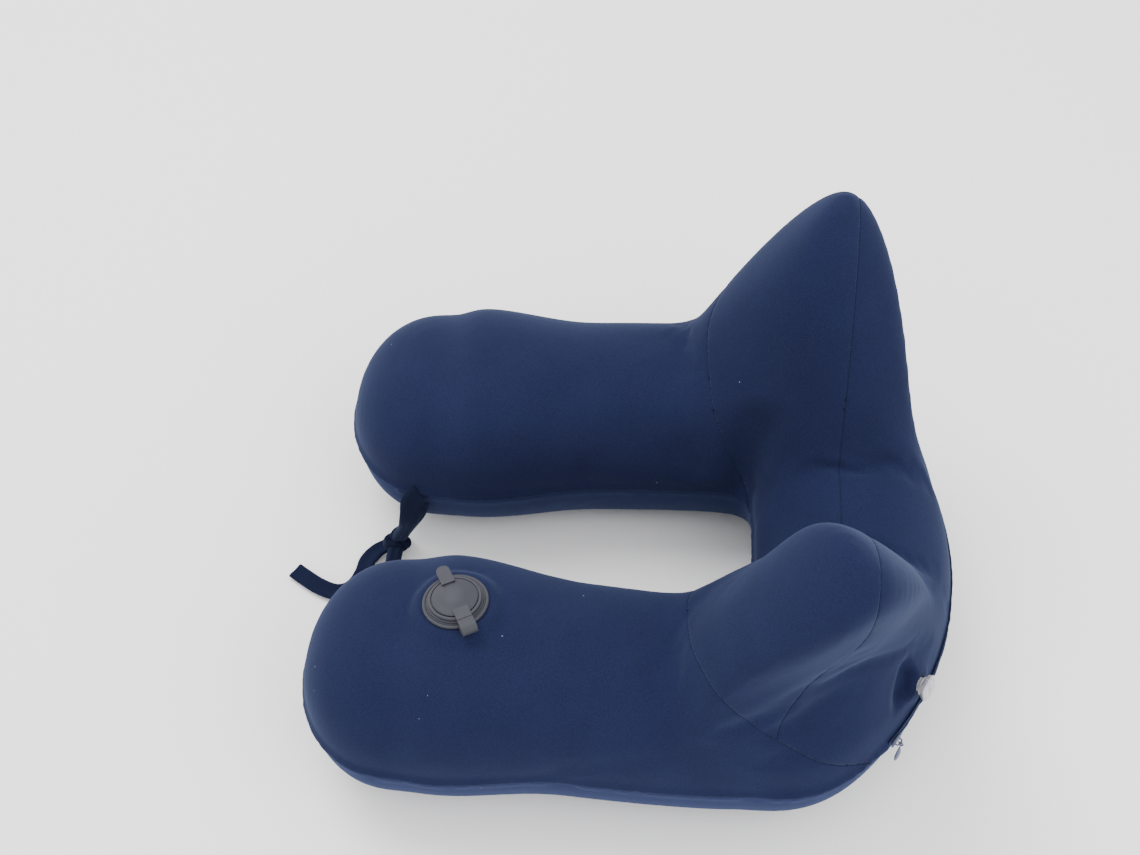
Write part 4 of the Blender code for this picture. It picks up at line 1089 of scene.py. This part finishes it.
# turned parts: an outline is spun about the seat's own axis
def turned(name, outline, seat, steps=96, closed=True, extras=(), bevel=0.00035):
    shape = bmesh.new()
    corners = [shape.verts.new((radius, 0.0, height)) for radius, height in outline]
    edges = [shape.edges.new(pair) for pair in zip(corners[:-1], corners[1:])]
    if closed:
        edges.append(shape.edges.new((corners[-1], corners[0])))
    bmesh.ops.spin(
        shape,
        geom=corners + edges,
        cent=(0.0, 0.0, 0.0),
        axis=(0.0, 0.0, 1.0),
        angle=2.0 * math.pi,
        steps=steps,
        use_merge=True,
        use_duplicate=False,
    )
    bmesh.ops.remove_doubles(shape, verts=shape.verts, dist=0.000002)
    for extra in extras:
        mesh = bpy.data.meshes.new("extra")
        extra.to_mesh(mesh)
        extra.free()
        shape.from_mesh(mesh)
        bpy.data.meshes.remove(mesh)
    bmesh.ops.recalc_face_normals(shape, faces=shape.faces)
    bmesh.ops.transform(shape, matrix=seat, verts=shape.verts)
    piece = addPiece(name, shape)
    if bevel:
        addBevel(piece, bevel, 3, 32.0)
        bake(piece)
    piece.data.shade_smooth()
    piece.data.set_sharp_from_angle(angle=math.radians(48.0))
    return piece


def bentBar(route, width, thickness, roundEnd=0.0, waist=0.0):
    # a flat bar that follows points (x, z), with its round end in plan
    points = np.array(route, float)
    run = np.r_[0.0, np.cumsum(np.linalg.norm(np.diff(points, axis=0), axis=1))]
    bar = bmesh.new()
    bmesh.ops.create_grid(bar, x_segments=40, y_segments=12, size=0.5)
    for corner in bar.verts:
        at = (corner.co.x + 0.5) * run[-1]
        across = corner.co.y * width
        toEnd = run[-1] - at
        if roundEnd and toEnd < roundEnd:
            across *= math.sqrt(max(0.0, 1.0 - (1.0 - toEnd / roundEnd) ** 2)) * 0.98 + 0.02
        across *= 1.0 - waist * math.exp(-(((at - run[-1] / 2) / 0.0012) ** 2))
        x = np.interp(at, run, points[:, 0])
        z = np.interp(at, run, points[:, 1])
        corner.co = (x, across, z)
    bmesh.ops.recalc_face_normals(bar, faces=bar.faces)
    bmesh.ops.solidify(bar, geom=bar.faces[:], thickness=thickness)
    return bar


flipValve = {
    "flange": 0.0188,
    "seat": 0.0160,
    "neck": 0.0118,
    "bore": 0.0100,
    "plug": 0.0152,
    "plugBore": 0.0062,
    "cap": 0.0130,
    "capRise": 0.0036,
    "tabWidth": 0.0078,
    "tabEnd": -0.0220,
    "strapWidth": 0.0092,
    "strapThickness": 0.0011,
}


def makeFlipValve():
    size = flipValve
    rim = size["flange"]
    body = [
        (size["bore"], 0.0028),
        (size["seat"], 0.0028),
        (size["seat"], 0.0016),
        (rim - 0.0022, 0.0014),
        (rim - 0.0015, 0.0019),
        (rim - 0.0005, 0.0019),
        (rim, 0.0014),
        (rim, 0.0003),
        (size["neck"], 0.0003),
        (size["neck"], -0.0100),
        (size["bore"], -0.0100),
    ]
    flange = turned("valveFlange", body, valveSeat)
    finish(flange, "pillow", finishes["rubber"], "valve", "valve_body")
    loop = [
        (size["cap"] + 0.0026, 0.0058),
        (rim - 0.0010, 0.0062),
        (rim + 0.0030, 0.0062),
        (rim + 0.0056, 0.0052),
        (rim + 0.0068, 0.0034),
        (rim + 0.0066, 0.0016),
        (rim + 0.0050, 0.0004),
        (rim + 0.0020, 0.0001),
        (rim - 0.0012, 0.0008),
    ]
    route = smoothRoute([(x, 0.0, z) for x, z in loop], 0.0004)[0]
    strap = bentBar(route[:, (0, 2)], size["strapWidth"], size["strapThickness"], waist=0.05)
    bmesh.ops.recalc_face_normals(strap, faces=strap.faces)
    bmesh.ops.transform(strap, matrix=valveSeat, verts=strap.verts)
    hinge = addPiece("valveHingeStrap", strap)
    addBevel(hinge, 0.0003, 2)
    bake(hinge)
    hinge.data.materials.clear()
    hinge.data.materials.append(finishes["rubber"])
    hinge.data.shade_smooth()
    hinge.data.set_sharp_from_angle(angle=math.radians(48.0))
    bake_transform(hinge)
    plug = [
        (size["plugBore"], 0.0039),
        (size["cap"] + 0.0006, 0.0039),
        (size["cap"] + 0.0006, 0.0047),
        (size["plug"] - 0.0004, 0.0047),
        (size["plug"], 0.0043),
        (size["plug"], 0.0031),
        (0.0094, 0.0031),
        (0.0094, -0.0002),
        (size["plugBore"], -0.0002),
    ]
    plugStrap = bentBar([(size["plug"] - 0.0012, 0.0042), (rim - 0.0006, 0.0042)], 0.0080, 0.0011)
    ring = turned("valvePlugRing", plug, valveSeat, extras=[plugStrap])
    finish(ring, "plug_body", finishes["rubber"], "valve", "valve_plug")
    cap = [(0.0, 0.0052 + size["capRise"])]
    for i in range(1, 13):
        t = i / 13
        dome = 0.62 * (1.0 - t**2.4) + 0.38 * math.exp(-((t / 0.62) ** 4))
        cap.append((size["cap"] * 0.97 * t, 0.0052 + size["capRise"] * dome))
    cap += [
        (size["cap"], 0.0050),
        (size["cap"], 0.0042),
        (0.0056, 0.0042),
        (0.0056, 0.0018),
        (0.0, 0.0018),
    ]
    tab = bentBar(
        [(-size["cap"] + 0.0040, 0.0066), (-size["flange"] + 0.0010, 0.0062), (size["tabEnd"], 0.0068)],
        size["tabWidth"],
        0.0011,
        roundEnd=0.0036,
    )
    capStrap = bentBar([(size["cap"] - 0.0040, 0.0066), (size["plug"] + 0.0014, 0.0063)], 0.0088, 0.0011)
    lid = turned("valveCap", cap, valveSeat, closed=False, extras=[tab, capStrap])
    finish(lid, "cap_body", finishes["rubber"], "valve", "valve_cap")
    print("flip valve made")


mouthValve = {
    "half": 0.0068,
    "corner": 4.0,
    "plateLow": 0.0069,
    "plateTop": 0.0094,
    "hole": 0.0016,
}


def roundedPlate(half, power, low, high, hole):
    # a soft square plate with a small blind hole and two raised ribs
    plate = bmesh.new()
    bmesh.ops.create_grid(plate, x_segments=28, y_segments=28, size=1.0)
    for corner in plate.verts:
        u, v = corner.co.x, corner.co.y
        reach = max(abs(u), abs(v))
        turn = math.atan2(v, u)
        rim = half / (abs(math.cos(turn)) ** power + abs(math.sin(turn)) ** power) ** (1.0 / power)
        radius = rim * reach
        crown = 0.0006 * (1.0 - reach**4) + 0.0005 * math.exp(-(((reach - 0.72) / 0.12) ** 2))
        crown -= 0.0014 * math.exp(-((radius / hole) ** 4))
        corner.co = (radius * math.cos(turn), radius * math.sin(turn), high + crown)
    bmesh.ops.recalc_face_normals(plate, faces=plate.faces)
    bmesh.ops.solidify(plate, geom=plate.faces[:], thickness=high - low)
    return plate


def makeMouthValve():
    size = mouthValve
    stem = [
        (0.0030, 0.0065),
        (0.0053, 0.0065),
        (0.0056, 0.0062),
        (0.0056, 0.0053),
        (0.0042, 0.0047),
        (0.0042, -0.0090),
        (0.0030, -0.0090),
    ]
    pipe = turned("mouthStem", stem, mouthSeat, steps=48)
    finish(pipe, "pillow", finishes["clear"], "clear", "mouth_valve_stem")
    plate = roundedPlate(size["half"], size["corner"], size["plateLow"], size["plateTop"], size["hole"])
    bmesh.ops.rotate(plate, verts=plate.verts, cent=(0, 0, 0), matrix=Matrix.Rotation(0.10, 3, "Z"))
    bmesh.ops.transform(plate, matrix=mouthSeat, verts=plate.verts)
    bmesh.ops.recalc_face_normals(plate, faces=plate.faces)
    stopper = addPiece("mouthStopper", plate)
    addBevel(stopper, 0.0005, 3, 40.0)
    bake(stopper)
    stopper.data.shade_smooth()
    finish(stopper, "stopper", finishes["clear"], "clear", "mouth_valve_stopper")
    print("mouth valve made")


makeFlipValve()
makeMouthValve()

# the zip's slider and its drop pull
zipParts = {
    "trackRadius": 0.205,
    "sliderLength": 0.0080,
    "sliderHalfHeight": 0.0034,
    "sliderRearHalfHeight": 0.0026,
    "pullLength": 0.0205,
    "pullHalfWidth": 0.0027,
    "pullHalfThickness": 0.0010,
}


def trackFrame():
    # X outwards, Y along the track, Z up, at the slider's place on the track
    pivot = Vector(joints["pull_hinge"]["pos_m"])
    centre = Vector(joints["slider_travel"]["pos_m"])
    turn = math.atan2(pivot.y - centre.y, pivot.x - centre.x)
    rim = centre + Vector((math.cos(turn), math.sin(turn), 0.0)) * zipParts["trackRadius"]
    return Matrix.Translation(rim) @ Matrix.Rotation(turn, 4, "Z"), (pivot - rim).length


def wire(points, radius, closed=False):
    curve = bpy.data.curves.new("wire", "CURVE")
    curve.dimensions = "3D"
    curve.bevel_depth = radius
    curve.bevel_resolution = 3
    curve.use_fill_caps = not closed
    spline = curve.splines.new("POLY")
    spline.points.add(len(points) - 1)
    for target, point in zip(spline.points, points):
        target.co = (*point, 1.0)
    spline.use_cyclic_u = closed
    holder = bpy.data.objects.new("wire", curve)
    bpy.context.scene.collection.objects.link(holder)
    bpy.context.view_layer.update()
    mesh = bpy.data.meshes.new_from_object(holder.evaluated_get(bpy.context.evaluated_depsgraph_get()))
    bpy.data.objects.remove(holder, do_unlink=True)
    shape = bmesh.new()
    shape.from_mesh(mesh)
    bpy.data.meshes.remove(mesh)
    bmesh.ops.remove_doubles(shape, verts=shape.verts, dist=0.000005)
    return shape


def merge(shape, extra):
    mesh = bpy.data.meshes.new("extra")
    extra.to_mesh(mesh)
    extra.free()
    shape.from_mesh(mesh)
    bpy.data.meshes.remove(mesh)


def makeZip():
    size = zipParts
    seat, reach = trackFrame()
    body = bmesh.new()
    plates = (
        (0.0004, 0.0015, size["sliderHalfHeight"], 0.80),
        (-0.0024, -0.0014, size["sliderRearHalfHeight"], 0.80),
    )
    for low, high, half, taper in plates:
        made = bmesh.ops.create_cube(body, size=1.0)["verts"]
        for corner in made:
            along = corner.co.y * size["sliderLength"]
            wide = half * (1.0 if along > 0.0 else taper)
            corner.co = ((low + high) / 2 + corner.co.x * (high - low), along, 2.0 * corner.co.z * wide)
    bail = [(0.0010, -0.0024, 0.0), (0.0030, -0.0023, 0.0)]
    for i in range(1, 8):
        turn = math.pi * i / 8
        bail.append((reach - 0.0009 + 0.0009 * math.sin(turn), -0.0017 * math.cos(turn), 0.0))
    bail += [(0.0030, 0.0023, 0.0), (0.0010, 0.0024, 0.0)]
    merge(body, wire(bail, 0.00048))
    bmesh.ops.recalc_face_normals(body, faces=body.faces)
    bmesh.ops.transform(body, matrix=seat, verts=body.verts)
    slider = addPiece("zipSliderBody", body)
    addBevel(slider, 0.00035, 3)
    bake(slider)
    slider.data.shade_smooth()
    finish(slider, "slider", finishes["metal"], "zip_metal", "zip_slider")

    drop = bmesh.new()
    bmesh.ops.create_uvsphere(drop, u_segments=32, v_segments=24, radius=1.0)
    ringLow = -0.0022
    for corner in drop.verts:
        t = (1.0 - corner.co.z) / 2
        width = math.sin(math.pi * min(1.0, t) ** 1.5) ** 0.85 if 0.0 < t < 1.0 else 0.0
        flat = Vector((corner.co.x, corner.co.y))
        if flat.length > 1e-6:
            flat.normalize()
        low = ringLow + (-size["pullLength"] - ringLow) * t
        corner.co = (
            reach + flat.x * size["pullHalfThickness"] * (width + 0.25 * (1 - t)),
            flat.y * size["pullHalfWidth"] * (width + 0.12 * (1 - t)),
            low,
        )
    ring = []
    for i in range(24):
        turn = 2.0 * math.pi * i / 24
        ring.append((reach + 0.0013 * math.cos(turn), 0.0, 0.0013 * math.sin(turn) - 0.00045))
    ringShape = wire(ring, 0.00042, closed=True)
    merge(drop, ringShape)
    bmesh.ops.recalc_face_normals(drop, faces=drop.faces)
    bmesh.ops.transform(drop, matrix=seat, verts=drop.verts)
    pull = addPiece("zipDropPull", drop)
    finish(pull, "pull", finishes["metal"], "zip_metal", "zip_pull")
    print("zip slider and pull made")


makeZip()

# parts that keep their CAD shape
kept = {
    "valve_check_flap": "clear",
    "mouth_valve_flap": "clear",
    "zip_tape_upper": "tape",
    "zip_tape_lower": "tape",
    "zip_coil_upper": "coil",
    "zip_coil_lower": "coil",
    "zip_stop_start": "metal",
    "zip_stop_end": "metal",
}
for node, finishName in kept.items():
    piece = frame["nodes"][node]
    piece.data.materials.clear()
    piece.data.materials.append(finishes[finishName])
print("CAD parts finished:", len(kept))
